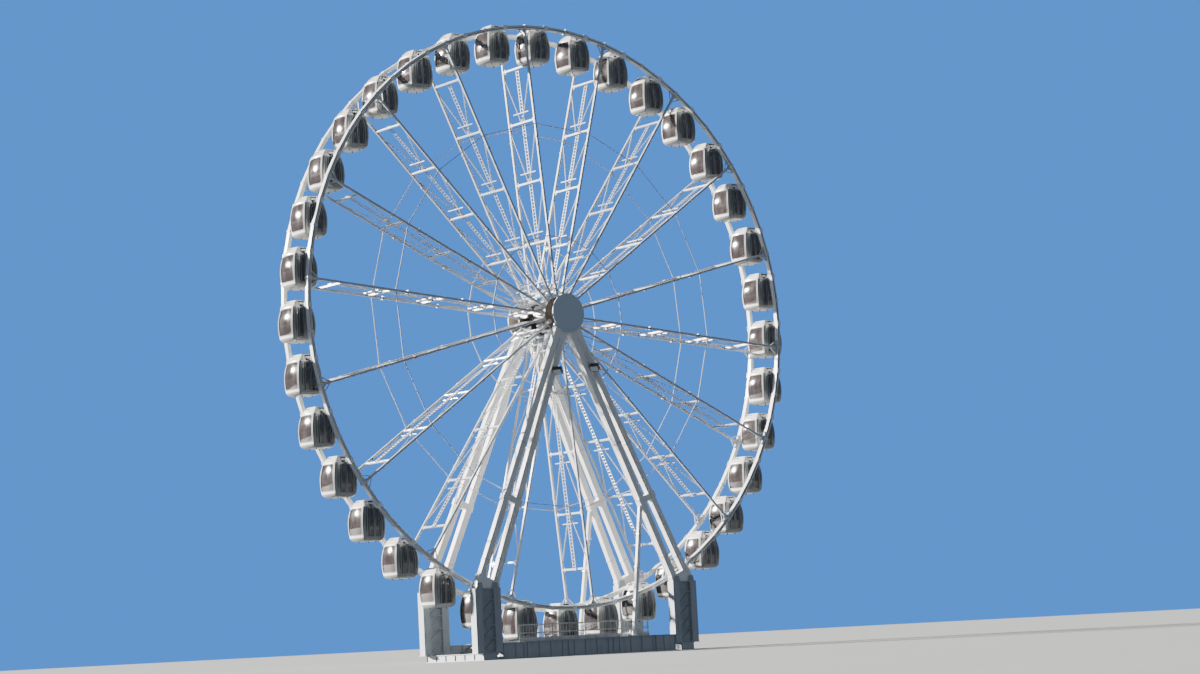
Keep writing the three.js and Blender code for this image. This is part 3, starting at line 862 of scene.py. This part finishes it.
# Spokes: two chords, rungs, V rods, crossbars and a ladder, worked out for the one at the top
rimLow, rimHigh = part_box("rim_front")
rimPlane = -(rimLow.y + rimHigh.y) / 2
spoke = {
    "start": 0.6403, "rimGap": 0.004, "chord": 0.08, "rung": 0.068, "rungs": (0.87, 0.68, 0.47, 0.26, 0.09),
    "rod": 0.020, "rodSpread": 0.05, "rodFoot": 0.02, "rodIn": 0.03, "rodSetback": 0.28, "rodEye": 0.09,
    "sleeve": ((0.012, -0.05), (0.026, -0.03), (0.026, 0.03), (0.012, 0.05)),
    "gusset": ((0, 0.02), (0.12, 0.02), (0.02, 0.13), (0, 0.13)), "gussetThick": 0.012,
    "crossbar": 0.032, "crossbarAbove": 0.034, "crossbarHalf": 0.45,
    "ladderHalf": 0.075, "ladderOff": 0.055, "ladderPast": 0.05, "ladderRail": 0.028,
    "ladderBracket": (0.10, 0.03), "ladderStep": 0.012, "ladderRise": 0.125, "ladderStart": 0.06,
    "ties": (0.665, 0.275), "tie": 0.017, "tieStart": 0.045,
    "tieEnd": ((0.012, 0), (0.022, 0.02), (0.022, 0.12), (0.011, 0.15)),
    "splices": (0.62, 0.40), "splice": 0.118, "spliceAt": (-0.021, 0.007), "spliceThick": 0.014,
    "spliceBolt": 0.048,
    "fork": (0.26, 0.30), "forkFoot": 0.03, "forkStay": 0.034, "forkHead": (0.09, 0.028), "forkDrop": 0.022,
    "forkPlate": ((0.03, 0), (0.13, -0.004), (0.045, -0.15), (0.03, -0.15)), "forkThick": 0.014,
    "forkBolts": [(u, v) for u in (0.02, 0.10) for v in (-0.03, 0.03)],
    "rootPlate": ((-0.055, 0), (0.055, 0), (0.04, 0.42), (-0.04, 0.42)), "rootOff": 0.048, "rootThick": 0.016,
    "rootBolts": [(x, z) for z in (0.08, 0.2, 0.32) for x in (-0.022, 0.022)],
}


def addSquareBar(form, start, end, size, across, edge):
    addBar(form, start, end, size, size, across, edge)


def addChord(form, y):
    root, end = spoke["start"], 2 * wheelRadius - (rimHigh.z - hub.z) - spoke["rimGap"]
    addSquareBar(form, at(0, y, root), at(0, y, end), spoke["chord"], axleWay, 0.010)
    wide, tall = spoke["fork"]
    beside, thick = spoke["forkFoot"], spoke["forkThick"]
    droop = wheelRadius - sqrt(wheelRadius * wheelRadius - wide * wide)
    for sign in both:
        addPlate(form, spoke["forkPlate"], at(0, y, end), rightWay * sign, upWay, thick)
        head = at(sign * wide, y, end - droop - spoke["forkDrop"])
        addSquareBar(form, at(sign * beside, y, end - tall), head, spoke["forkStay"], axleWay, 0.006)
        foot = at(sign * beside, y, end - thick)
        addBar(form, foot, head + upWay * 0.004, *spoke["forkHead"], axleWay, 0.005)
        addBolts(form, [head + at(-sign * u, v, 0.016) for u, v in spoke["forkBolts"]], -upWay)
    thick = spoke["rootThick"]
    for sign in both:
        origin = at(0, y + sign * spoke["rootOff"], root + 0.002)
        addPlate(form, spoke["rootPlate"], origin, rightWay, upWay, thick)
        bolts = [origin + at(x, sign * thick / 2, z) for x, z in spoke["rootBolts"]]
        addBolts(form, bolts, axleWay * sign)
    thick, off = spoke["spliceThick"], spoke["spliceBolt"]
    for share in spoke["splices"]:
        z = share * wheelRadius
        for low in spoke["spliceAt"]:
            addSquareBar(form, at(0, y, z + low), at(0, y, z + low + thick), spoke["splice"], axleWay, 0.012)
        bolts = [at(a * off, y + b * off, z + 0.021) for a, b in ((-1, -1), (1, -1), (1, 1), (-1, 1))]
        addBolts(form, bolts, upWay, 0.009)


def addRungs(form):
    inside, half = rimPlane - spoke["chord"] / 2, spoke["crossbarHalf"]
    for place, share in enumerate(spoke["rungs"]):
        z = share * wheelRadius
        addSquareBar(form, at(0, -inside, z), at(0, inside, z), spoke["rung"], rightWay, 0.009)
        for side in both:
            corner = at(0, side * inside, z)
            for sign in both:
                addPlate(form, spoke["gusset"], corner, axleWay * -side, upWay * sign, spoke["gussetThick"])
        if place == 0:
            continue
        top = spoke["rungs"][place - 1] * wheelRadius - spoke["rodSetback"]
        for side in both:
            foot = at(0, side * spoke["rodSpread"], z + spoke["rodFoot"])
            head = at(0, side * (rimPlane - spoke["rodIn"]), top)
            addTube(form, foot, head, spoke["rod"])
            way = (head - foot).normalized()
            for middle in (foot + way * spoke["rodEye"], head - way * spoke["rodEye"]):
                addTurned(form, middle, way, spoke["sleeve"], 8)
        barZ = z + spoke["crossbarAbove"] * wheelRadius
        addSquareBar(form, at(0, -half, barZ), at(0, half, barZ), spoke["crossbar"], rightWay, 0.005)


def addLadder(form):
    past, (wide, tall) = spoke["ladderPast"], spoke["ladderBracket"]
    low, high = spoke["rungs"][-1] * wheelRadius - past, spoke["rungs"][0] * wheelRadius + past
    x, half, rail = spoke["ladderOff"], spoke["ladderHalf"], spoke["ladderRail"]
    for y in (-half, half):
        addSquareBar(form, at(x, y, low), at(x, y, high), rail, axleWay, 0.004)
    for share in spoke["rungs"]:
        z = share * wheelRadius
        addBox(form, (0.028, -wide, z - tall), (x + rail / 2, wide, z + tall), 0.006)
    step = bmesh.new()
    addTube(step, at(x, -half, low), at(x, half, low), spoke["ladderStep"], 5)
    rise, start = spoke["ladderRise"], (0, 0, spoke["ladderStart"])
    count = int((high - low) / rise)
    return repeated(meshOf(step), "spoke_steel", count=count, step=(0, 0, rise), start=start)


def addTies(form):
    for share in spoke["ties"]:
        for side in both:
            ends = [wheelPoint(share * wheelRadius, turn, side * rimPlane) for turn in (0, spokeTurn)]
            way = (ends[1] - ends[0]).normalized()
            start, end = ends[0] + way * spoke["tieStart"], ends[1] - way * spoke["tieStart"]
            addTube(form, start, end, spoke["tie"], 6)
            addTurned(form, start, way, spoke["tieEnd"], 6)
            addTurned(form, end, -way, spoke["tieEnd"], 6)


def makeSpokes():
    form = bmesh.new()
    for side in both:
        addChord(form, side * rimPlane)
    addRungs(form)
    ladder = addLadder(form)
    addTies(form)
    whole = joined(meshOf(form), ladder)
    sectors = sorted(name for name in frame["nodes"] if name.startswith("spokes_"))
    each = spokeCount // len(sectors)
    for place, node in enumerate(sectors):
        turn = firstSpoke + place * each * spokeTurn
        mesh = repeated(whole.copy(), "spoke_steel", count=each, turnStep=spokeTurn, turn=turn)
        makePiece("spokes" + node[-1].upper(), mesh, "spoke_steel", node, "wheel", hub)
    print("spokes made:", len(whole.polygons), "faces each")


makeSpokes()

# Hub: the drum that the spokes meet at, with a socket for each spoke and a plain cover at each end
hubParts = {
    "socketAt": 0.66, "socketLong": (0.20, 0.60), "socketHalf": 0.055,
    "socketBolts": (0.27, 0.35, 0.43, 0.51), "gussetLow": 0.31, "gussetLong": (0.24, 0.28, 0.70),
    "flangeFace": 0.81, "flangePlate": (0.052, 0.46, 0.625),
    "flangeBolts": ((-0.07, 0.55), (0.07, 0.55), (0, 0.60), (-0.04, 0.40), (0.04, 0.40)),
    "lampTurns": (-118, 62), "lampAt": (0.56, -0.84),
    "lampRing": ((0.03, -0.04), (0.075, -0.02), (0.085, 0.05), (0.060, 0.055), (0.055, 0.03)),
    "coverEdge": ((0.012, 0, 0), (0, 0.006, 0), (0, -0.010, 1), (0.010, 0, 1), (0.045, 0, 1),
                  (0.050, -0.006, 1)),  # how far in, and how far forward of the back (0) or the front (1)
    "coverSeams": 5, "seamIn": 0.06, "seamDeep": (0.014, 0.003), "seamHalf": 0.006,
    "coverBolts": 24, "boltIn": 0.027, "coverBolt": 0.008,
    "coverRibs": 12, "ribFrom": 0.21, "ribIn": 0.05, "rib": (0.028, 0.024), "ribRing": (0.06, 0.03, 0.026),
    "sides": 72,
}


def addSocket(form, gussets, side):
    near, far = sorted(side * end for end in hubParts["socketLong"])
    top, half = hubParts["socketAt"], hubParts["socketHalf"]
    for lift, wide in ((0.02, half), (-0.03, half * 0.8)):
        addBox(form, (-wide, near, top + lift - 0.011), (wide, far, top + lift + 0.011), 0.006)
    foot = hubParts["gussetLow"]
    start, head, end = (side * y for y in hubParts["gussetLong"])
    for x in (-half * 0.7, half * 0.7):
        outline = [(foot, start), (top, head), (top, end), (foot, end)]
        addPlate(gussets, outline, rightWay * x, upWay, axleWay, 0.014)
    spots = [at(x, side * y, top + 0.031) for x in (-0.034, 0.034) for y in hubParts["socketBolts"]]
    addBolts(form, spots, upWay)


def addFlangeBolts(form, side):
    face = side * hubParts["flangeFace"]
    addBolts(form, [at(x, face, z) for x, z in hubParts["flangeBolts"]], axleWay * side, 0.012)
    near, far = sorted((face - side * 0.02, face + side * 0.010))
    half, low, high = hubParts["flangePlate"]
    addBox(form, (-half, near, low), (half, far, high), 0.006)


def makeHub():
    sockets, bolts, lamps = bmesh.new(), bmesh.new(), bmesh.new()
    for side in both:
        addSocket(sockets, bolts, side)
        addFlangeBolts(bolts, side)
    for name, form, look in (("hubSockets", sockets, "spoke_steel"), ("hubBolts", bolts, "hub_steel")):
        ring = repeated(meshOf(form), look, count=spokeCount, turnStep=spokeTurn, turn=firstSpoke)
        makePiece(name, ring, look, None, "wheel", hub)
    makePiece("hubDrum", softened("hub", 0.008), "hub_steel", "hub", "wheel")
    radius, y = hubParts["lampAt"]
    for turn in hubParts["lampTurns"]:
        addTurned(lamps, hub + wheelPoint(radius, radians(turn), y), -axleWay, hubParts["lampRing"], 20)
    makePiece("hubLampRings", lamps, "light_strip", None, "wheel")


def addSeams(form, inside, low, high):
    thin = hubParts["seamHalf"]
    for place in range(hubParts["coverSeams"]):
        z = -inside + (place + 0.5) * 2 * inside / hubParts["coverSeams"]
        half = sqrt(inside * inside - z * z) - 0.02
        addBox(form, (-half, low, hub.z + z - thin), (half, high, hub.z + z + thin), 0.002)


def makeCover(face, side):
    cover, ribs = bmesh.new(), bmesh.new()
    node, way, sides = "hub_cover_" + face, axleWay * side, hubParts["sides"]
    low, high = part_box(node)
    back = low.y if side > 0 else high.y
    thick, radius = high.y - low.y, (high.x - low.x) / 2
    profile = [(radius - inset, lift + thick * front) for inset, lift, front in hubParts["coverEdge"]]
    addTurned(cover, at(0, back, hub.z), way, profile, sides)
    seam = sorted(back + side * (thick - deep) for deep in hubParts["seamDeep"])
    addSeams(cover, radius - hubParts["seamIn"], *seam)
    front, reach = at(0, back + side * thick, hub.z), radius - hubParts["boltIn"]
    turns = turnsOf(hubParts["coverBolts"], 0.5)
    addBolts(cover, [front + wheelPoint(reach, turn, 0) for turn in turns], way, hubParts["coverBolt"])
    makePiece("hubCover_" + face, cover, "hub_cover", node)
    wide, deep = hubParts["rib"]
    y, reach = back - side * wide / 2, (hubParts["ribFrom"], radius - hubParts["ribIn"])
    for turn in turnsOf(hubParts["coverRibs"]):
        addBar(ribs, *(hub + wheelPoint(end, turn, y) for end in reach), wide, deep, axleWay, 0.003)
    inner, outer, deep = hubParts["ribRing"]
    profile = [(radius - inner, 0), (radius - outer, 0), (radius - outer, deep), (radius - inner, deep)]
    addTurned(ribs, at(0, back - side * wide, hub.z), way, profile, sides)
    makePiece("coverRibs_" + face, ribs, "hub_steel")
    bearing = "bearing_" + face
    makePiece(bearing + "_housing", softened(bearing, 0.010), "hub_steel", bearing)


makeHub()
for faceName, faceSide in faces:
    makeCover(faceName, faceSide)
print("hub made")

# Legs: each has two box beams that spread towards the foot
leg = {
    "lean": 0.45, "axleGap": 1.161, "spread": 0.044, "gapTop": 0.25, "gapGrowth": 0.4 / 9.62,
    "wide": 0.24, "deep": 0.205, "joints": (4.63, 8.67),
    "flanges": ((-0.026, -0.006, 0.03), (0.006, 0.026, 0.03), (-0.006, 0.006, 0.02)),  # from, to, wider by
    "flangeBolts": (0.124, 0.107, (-0.07, 0, 0.07), (-0.06, 0, 0.06)),
    "plates": ((0.64, 0.23), (6.604, 0.115), (9.505, 0.23)),  # how far down, half height
    "pipe": 0.013, "pipeFrom": 0.95, "pipeTo": 9.35, "pipeCuts": 12, "pipeLift": (0.03, 0.35),
    "pipes": ((-1, 0.045), (1, -0.045), (1, 0.0)),
    "clipFrom": 1.3, "clipStep": 0.7,
    "lamps": {-1: (2.10, 1), 1: (1.95, 0)},  # for each side, how far down and on which beam
    "lampOff": (0.05, 0.25), "lampAim": (-0.55, 0.35, -0.76),
}
floodlight = {
    "body": (-0.07, 0.065, (0.34, 0.27), 0.03),  # from and to along its aim, size, edge
    "fin": (-0.115, -0.055, (0.010, 0.23), 0.002), "fins": 7, "finSpread": 0.14,
    "lens": (0.060, 0.072, (0.29, 0.22), 0.02),
    "hinge": 0.18, "yoke": 0.14, "strap": 0.012, "strapWide": (0.04, 0.05),
}


def legSpot(side, face, drop, beam=0.0):
    spacing = leg["gapTop"] + leg["gapGrowth"] * drop
    x = side * leg["lean"] * drop + beam * spacing / 2
    return at(x, face * (leg["axleGap"] + leg["spread"] * drop), hub.z - drop)


def legWay(side, face, drop, beam):
    return (legSpot(side, face, drop + 1, beam) - legSpot(side, face, drop, beam)).normalized()


def addLegJoints(form, dark, side, face):
    spots = flangeSpots(*leg["flangeBolts"])
    for drop in leg["joints"]:
        for beam in both:
            centre, along = legSpot(side, face, drop, beam), legWay(side, face, drop, beam)
            for into, (start, end, out) in zip((form, form, dark), leg["flanges"]):
                size = (leg["wide"] + out, leg["deep"] + out)
                addBar(into, centre + along * start, centre + along * end, *size, rightWay, 0.010)
            addBolts(form, [centre + at(x, y, 0) - along * 0.026 for x, y in spots], -along)


def addPlateBolts(form, side, face):
    out = face * (leg["deep"] / 2 + 0.014)
    for drop, half in leg["plates"]:
        for beam in both:
            for down in (-0.75, -0.25, 0.25, 0.75):
                spot = legSpot(side, face, drop + down * half, beam)
                addBolts(form, [spot + at(x, out, 0) for x in (-0.07, 0.07)], axleWay * face, 0.012)


def legPipes(side, face):
    paths = []
    start, end, cuts = leg["pipeFrom"], leg["pipeTo"], leg["pipeCuts"]
    lift, reach = leg["pipeLift"]
    for beam, x in leg["pipes"]:
        points = []
        for drop in [start + (end - start) * place / cuts for place in range(cuts + 1)]:
            near = min(abs(drop - stop) for stop in (*leg["joints"], leg["plates"][1][0]))
            out = leg["deep"] / 2 + leg["pipe"] + 0.003 + lift * max(0, 1 - near / reach)
            points.append(legSpot(side, face, drop, beam) + at(x, face * out, 0))
        paths.append(points)
    return alongPaths(paths, leg["pipe"], 8, "leg_steel")


def legClips(side, face):
    form = bmesh.new()
    start, along = legSpot(side, face, leg["clipFrom"], 1), legWay(side, face, leg["clipFrom"], 1)
    reach = at(0, face * (leg["deep"] / 2 + 0.014), 0)
    addBar(form, reach - along * 0.012, reach + along * 0.012, 0.15, 0.034, rightWay, 0.004)
    count = int((leg["pipeTo"] - 1.6) / leg["clipStep"])
    return repeated(meshOf(form), "leg_steel", count=count, step=along * leg["clipStep"], start=start)


def addFloodlight(body, lens, centre, aim, face):
    side = aim.cross(upWay).normalized()

    def addSlab(form, low, high, size, edge, off=0.0):
        middle = centre + side * off
        addBar(form, middle + aim * low, middle + aim * high, *size, side, edge)

    addSlab(body, *floodlight["body"])
    addSlab(lens, *floodlight["lens"])
    middle = (floodlight["fins"] - 1) / 2
    for place in range(floodlight["fins"]):
        addSlab(body, *floodlight["fin"], floodlight["finSpread"] * (place - middle) / middle)
    back, out, thick = at(0, face * floodlight["yoke"], 0), side * floodlight["hinge"], floodlight["strap"]
    armWide, endWide = floodlight["strapWide"]
    for hinge in (centre - out, centre + out):
        addBar(body, hinge, hinge - back, thick, armWide, side, 0.002)
    out += side * thick / 2
    addBar(body, centre - back - out, centre - back + out, thick, endWide, axleWay, 0.002)


def makeLeg(node, side, face):
    joints, lamps, lenses = bmesh.new(), bmesh.new(), bmesh.new()
    addLegJoints(joints, lamps, side, face)
    addPlateBolts(joints, side, face)
    x, y = leg["lampOff"]
    aimX, aimY, aimZ = leg["lampAim"]
    centre = legSpot(side, face, *leg["lamps"][side]) + at(x, face * y, 0)
    addFloodlight(lamps, lenses, centre, at(aimX, face * aimY, aimZ).normalized(), face)
    makePiece(node + "_beams", softened(node, 0.010), "leg_steel", node)
    makePiece(node + "_joints", joints, "leg_steel")
    makePiece(node + "_pipes", joined(legPipes(side, face), legClips(side, face)), "leg_steel")
    makePiece(node + "_lamp", lamps, "lamp")
    makePiece(node + "_lens", lenses, "light_strip")


for faceName, faceSide in sorted(faces):
    makeLeg("leg_%s_left" % faceName, -1, faceSide)
    makeLeg("leg_%s_right" % faceName, 1, faceSide)
print("legs made")

# Props under the right legs
prop = {
    "foot": (1.976, 1.584, 0.66), "head": (2.76, 1.457, 5.33), "collars": (0.25, 0.5, 0.75), "collar": 0.168,
    "cheek": ((-0.11, -0.08), (0.11, -0.08), (0.06, 0.10), (-0.06, 0.10)), "pin": (0.12, 0.035),
}


def makeProp(node, face):
    form = bmesh.new()
    foot, head = (at(x, face * y, z) for x, y, z in (prop["foot"], prop["head"]))
    along = (head - foot).normalized()
    for share in prop["collars"]:
        centre = foot.lerp(head, share)
        ends = (centre - along * 0.016, centre + along * 0.016)
        addSquareBar(form, *ends, prop["collar"], rightWay, 0.014)
    for sign in both:
        addPlate(form, prop["cheek"], foot + at(0, sign * 0.085, 0.06), rightWay, upWay, 0.018)
    half, radius = prop["pin"]
    addTube(form, foot + at(0, -half, 0.08), foot + at(0, half, 0.08), radius, 14)
    addBolts(form, [foot + at(x, y, -0.04) for x in (-0.1, 0.1) for y in (-0.1, 0.1)], upWay, 0.014)
    makePiece(node + "_post", softened(node, 0.008), "leg_steel", node)
    makePiece(node + "_fittings", form, "leg_steel")


for faceName, faceSide in sorted(faces):
    makeProp("prop_" + faceName, faceSide)

# Base: foot towers on cross girders, with a middle frame that ties them together
base = {
    "towerX": 4.329, "towerY": 1.584, "towerTop": 2.43, "towerHalf": (0.535, 0.165), "cap": 0.03,
    "post": 0.29, "web": 0.11, "shelves": (0.28, 0.72, 1.16, 1.60, 2.04),
    "girderTop": 0.24, "girderHalf": (0.30, 1.749), "flange": 0.020, "inset": 0.035,
    "centreTop": 0.56, "centreHalf": 0.15, "centreEnd": 3.794, "tieX": (-1.976, 0, 1.976),
    "ribStep": 0.46, "rib": (0.032, 0.012), "ribEnd": 0.03,
    "joints": (-2.9, -0.99, 0.99, 2.9), "jointBolts": (0.12, 0.28, 0.44),
    "footPlate": ((-0.15, 0), (0.15, 0), (0.10, 0.20), (-0.10, 0.20)), "pin": (0.15, 0.034, 0.10),
}


def addTower(form, side, face):
    x, y = side * base["towerX"], face * base["towerY"]
    halfX, halfY = base["towerHalf"]
    top, cap, low, web = base["towerTop"], base["towerTop"] - base["cap"], base["girderTop"], base["web"] / 2
    post = base["post"] / 2
    for sign in both:
        boxAcross(form, x + sign * (halfX - post), post, y, halfY, low, cap, 0.014)
    middle = halfX - base["post"] + 0.01
    boxAcross(form, x, middle, y, web, low, cap)
    for z in base["shelves"]:
        boxAcross(form, x, middle, y, halfY - 0.02, z, z + 0.03)
    for sign in both:
        plane = y + sign * (web + 0.02)
        for z, after in zip(base["shelves"], base["shelves"][1:]):
            ends = (at(x - middle, plane, z + 0.03), at(x + middle, plane, after))
            addBar(form, *ends, 0.05, 0.03, axleWay, 0.004)
    boxAcross(form, x, halfX, y, halfY, cap, top, 0.008)
    boxAcross(form, x, halfX + 0.02, y, halfY + 0.02, low, low + 0.024, 0.008)
    spots = [(u * (halfX - 0.03), v * (halfY - 0.03)) for u in (-1, -0.33, 0.33, 1) for v in both]
    addBolts(form, [at(x + u, y + v, top) for u, v in spots], upWay, 0.014)
    half, radius, lift = base["pin"]
    for beam in both:
        foot = legSpot(side, face, hub.z - top, beam)
        for sign in both:
            addPlate(form, base["footPlate"], foot + at(0, sign * 0.122, 0), rightWay, upWay, 0.018)
        addTube(form, foot + at(0, -half, lift), foot + at(0, half, lift), radius, 14)


def addGirder(form, low, high, long):  # "long" is the axis along it, 0 or 1; its ribs come back as a mesh
    low, high = Vector(low), Vector(high)
    flange, wide, size = base["flange"], high - low, at(base["rib"][0], base["rib"][0], 0)
    inset, start, step, across = at(base["inset"], base["inset"], 0), (low + high) / 2, Vector(), Vector()
    inset[long] = 0
    rise = at(0, 0, flange * 0.9)
    addBox(form, low, (high.x, high.y, low.z + flange))
    addBox(form, (low.x, low.y, high.z - flange), high)
    addBox(form, low + inset + rise, high - inset - rise)
    rib = bmesh.new()
    size[long] = base["rib"][1]
    across[1 - long] = wide[1 - long] / 2 - 0.020
    for sign in both:
        corner = across * sign - size / 2
        addBox(rib, corner, corner + size + upWay * (wide.z - 2 * flange), 0.002)
    count = max(int(wide[long] / base["ribStep"]), 2)
    start[long] = low[long] + base["ribEnd"]
    start.z = low.z + flange
    step[long] = (wide[long] - 2 * base["ribEnd"]) / (count - 1)
    return repeated(meshOf(rib), "base_steel", count=count, step=step, start=start)


def makeSideBase(node, side):
    form = bmesh.new()
    halfX, halfY = base["girderHalf"]
    x = side * base["towerX"]
    ribs = addGirder(form, (x - halfX, -halfY, 0), (x + halfX, halfY, base["girderTop"]), 1)
    for face in both:
        addTower(form, side, face)
    makePiece(node + "_frame", joined(meshOf(form), ribs), "base_steel", node)


def makeCentreBase():
    form = bmesh.new()
    ribs = []
    end, half, top, far = base["centreEnd"], base["centreHalf"], base["centreTop"], base["towerY"]
    for y in (-far, far):
        ribs.append(addGirder(form, (-end, y - half, 0), (end, y + half, top), 0))
        for x in base["joints"]:
            boxAcross(form, x, 0.016, y, half + 0.012, 0.004, top + 0.006)
            spots = [at(x + 0.016, y + v, z) for v in (-half * 0.9, half * 0.9) for z in base["jointBolts"]]
            addBolts(form, spots, rightWay, 0.012)
    for x in base["tieX"]:
        ribs.append(addGirder(form, (x - half, half - far, 0), (x + half, far - half, base["girderTop"]), 1))
    makePiece("base_centre_frame", joined(meshOf(form), *ribs), "base_steel", "base_centre")


makeSideBase("base_left", -1)
makeSideBase("base_right", 1)
makeCentreBase()
print("props and base made")

# Platforms: tread decks with steps at both ends and a rail on the outer side
deck = {
    "halfX": 2.85, "near": 0.56, "far": 1.41, "top": 0.60, "thick": 0.06, "lip": 0.012,
    "legX": (2.81, 1.976, 0.988, 0), "legRows": (0.60, 1.37), "leg": (0.04, 0.07),
    "steps": 3, "stepRise": 0.15, "stepRun": 0.28, "tread": 0.035, "side": 0.012,
    "studStep": (0.075, 0.075), "stud": (0.026, 0.007, 0.003),
    "braceX": (-1.482, -0.494, 0.494, 1.482), "braceHalf": 0.45, "brace": (0.12, 0.50),
    "kick": (1.40, 0.005, 0.10),
    "railY": 1.37, "rails": (1.15, 0.875), "railHalf": 0.02, "posts": 5, "postFoot": (0.06, 0.035, 0.012),
    "bars": 46, "barEnd": 0.08, "bar": 0.007,
}


def addTread(form, low, high):  # a tread with its lips; its rows of studs come back as a mesh
    low, high = Vector(low), Vector(high)
    addBox(form, low, high, 0.006)
    for start, end in ((low.x - 0.004, low.x + deck["lip"]), (high.x - deck["lip"], high.x + 0.004)):
        addBox(form, (start, low.y - 0.004, high.z - 0.045), (end, high.y + 0.004, high.z + 0.003), 0.002)
    studs = bmesh.new()
    long, wide, tall = deck["stud"]
    stepX, stepY = deck["studStep"]
    for way, x, y in ((1, 0, 0), (-1, stepX / 2, 0), (-1, 0, stepY / 2), (1, stepX / 2, stepY / 2)):
        along, centre = at(1, way, 0).normalized(), at(x, y, 0)
        across = along.cross(upWay) * wide
        ring = [centre + along * long, centre + across, centre - along * long, centre - across]
        addLoft(studs, [ring, [centre + (point - centre) * 0.5 + upWay * tall for point in ring]])
    countX, countY = int((high.x - low.x - 0.04) / stepX), int((high.y - low.y - 0.04) / stepY)
    start = (low.x + 0.03, low.y + 0.03, high.z)
    line = repeated(meshOf(studs), "platform", count=countX, step=(stepX, 0, 0))
    return repeated(line, "platform", count=countY, step=(0, stepY, 0), start=start)


def addStairs(form, side, near, far):
    studs = []
    for place in range(deck["steps"]):
        level = deck["top"] - deck["stepRise"] * (place + 1)
        start = deck["halfX"] + deck["stepRun"] * place
        left, right = sorted((side * (start + deck["side"]), side * (start + deck["stepRun"])))
        under = level - deck["tread"]
        studs.append(addTread(form, (left, near, under), (right, far, level)))
        for y in (near + 0.02, far - 0.02):
            addBox(form, (left, y - deck["side"], 0), (right, y + deck["side"], under), 0.003)
    return studs


def addUnderframe(form, side, face):
    half, footHalf = deck["leg"]
    for row in deck["legRows"]:
        for x in deck["legX"]:
            if x or side < 0:
                boxAcross(form, side * x, half, face * row, half, 0, deck["top"] - deck["thick"], 0.006)
                boxAcross(form, side * x, footHalf, face * row, footHalf, 0, 0.014)


def addRail(form, face):
    halfX, top, size, y = deck["halfX"], deck["top"], deck["railHalf"], face * deck["railY"]
    for high in deck["rails"]:
        addBox(form, (-halfX, y - size, high - 2 * size), (halfX, y + size, high), 0.010)
    for place in range(deck["posts"]):
        x = (-1 + place * 2 / (deck["posts"] - 1)) * (halfX - size)
        boxAcross(form, x, size, y, size, top, deck["rails"][0] - size, 0.010)
        footX, footY, thick = deck["postFoot"]
        boxAcross(form, x, footX, y, footY, top, top + thick, 0.003)
    bar = bmesh.new()
    addTube(bar, at(0, 0, 0), at(0, 0, deck["rails"][0] - top - 0.14), deck["bar"], 6)
    step, start = 2 * (halfX - deck["barEnd"]) / (deck["bars"] - 1), (deck["barEnd"] - halfX, y, top + 0.10)
    return repeated(meshOf(bar), "platform", count=deck["bars"], step=(step, 0, 0), start=start)


def makePlatform(node, face):
    form = bmesh.new()
    halfX, top = deck["halfX"], deck["top"]
    near, far = sorted((face * deck["near"], face * deck["far"]))
    studs = [addTread(form, (-halfX, near, top - deck["thick"]), (halfX, far, top))]
    for side in both:
        studs += addStairs(form, side, near, far)
        addUnderframe(form, side, face)
    y, half = face * deck["legRows"][0], deck["braceHalf"]
    for x in deck["braceX"]:
        for low, high in (deck["brace"], deck["brace"][::-1]):
            addBar(form, at(x - half, y, low), at(x + half, y, high), 0.02, 0.008, axleWay, 0.002)
    y, half, high = deck["kick"]
    boxAcross(form, 0, halfX, face * y, half, top, top + high, 0.002)
    bars = addRail(form, face)
    makePiece(node + "_deck", joined(meshOf(form), bars, *studs), "platform", node)


for faceName, faceSide in faces:
    makePlatform("platform_" + faceName, faceSide)
print("platforms made")
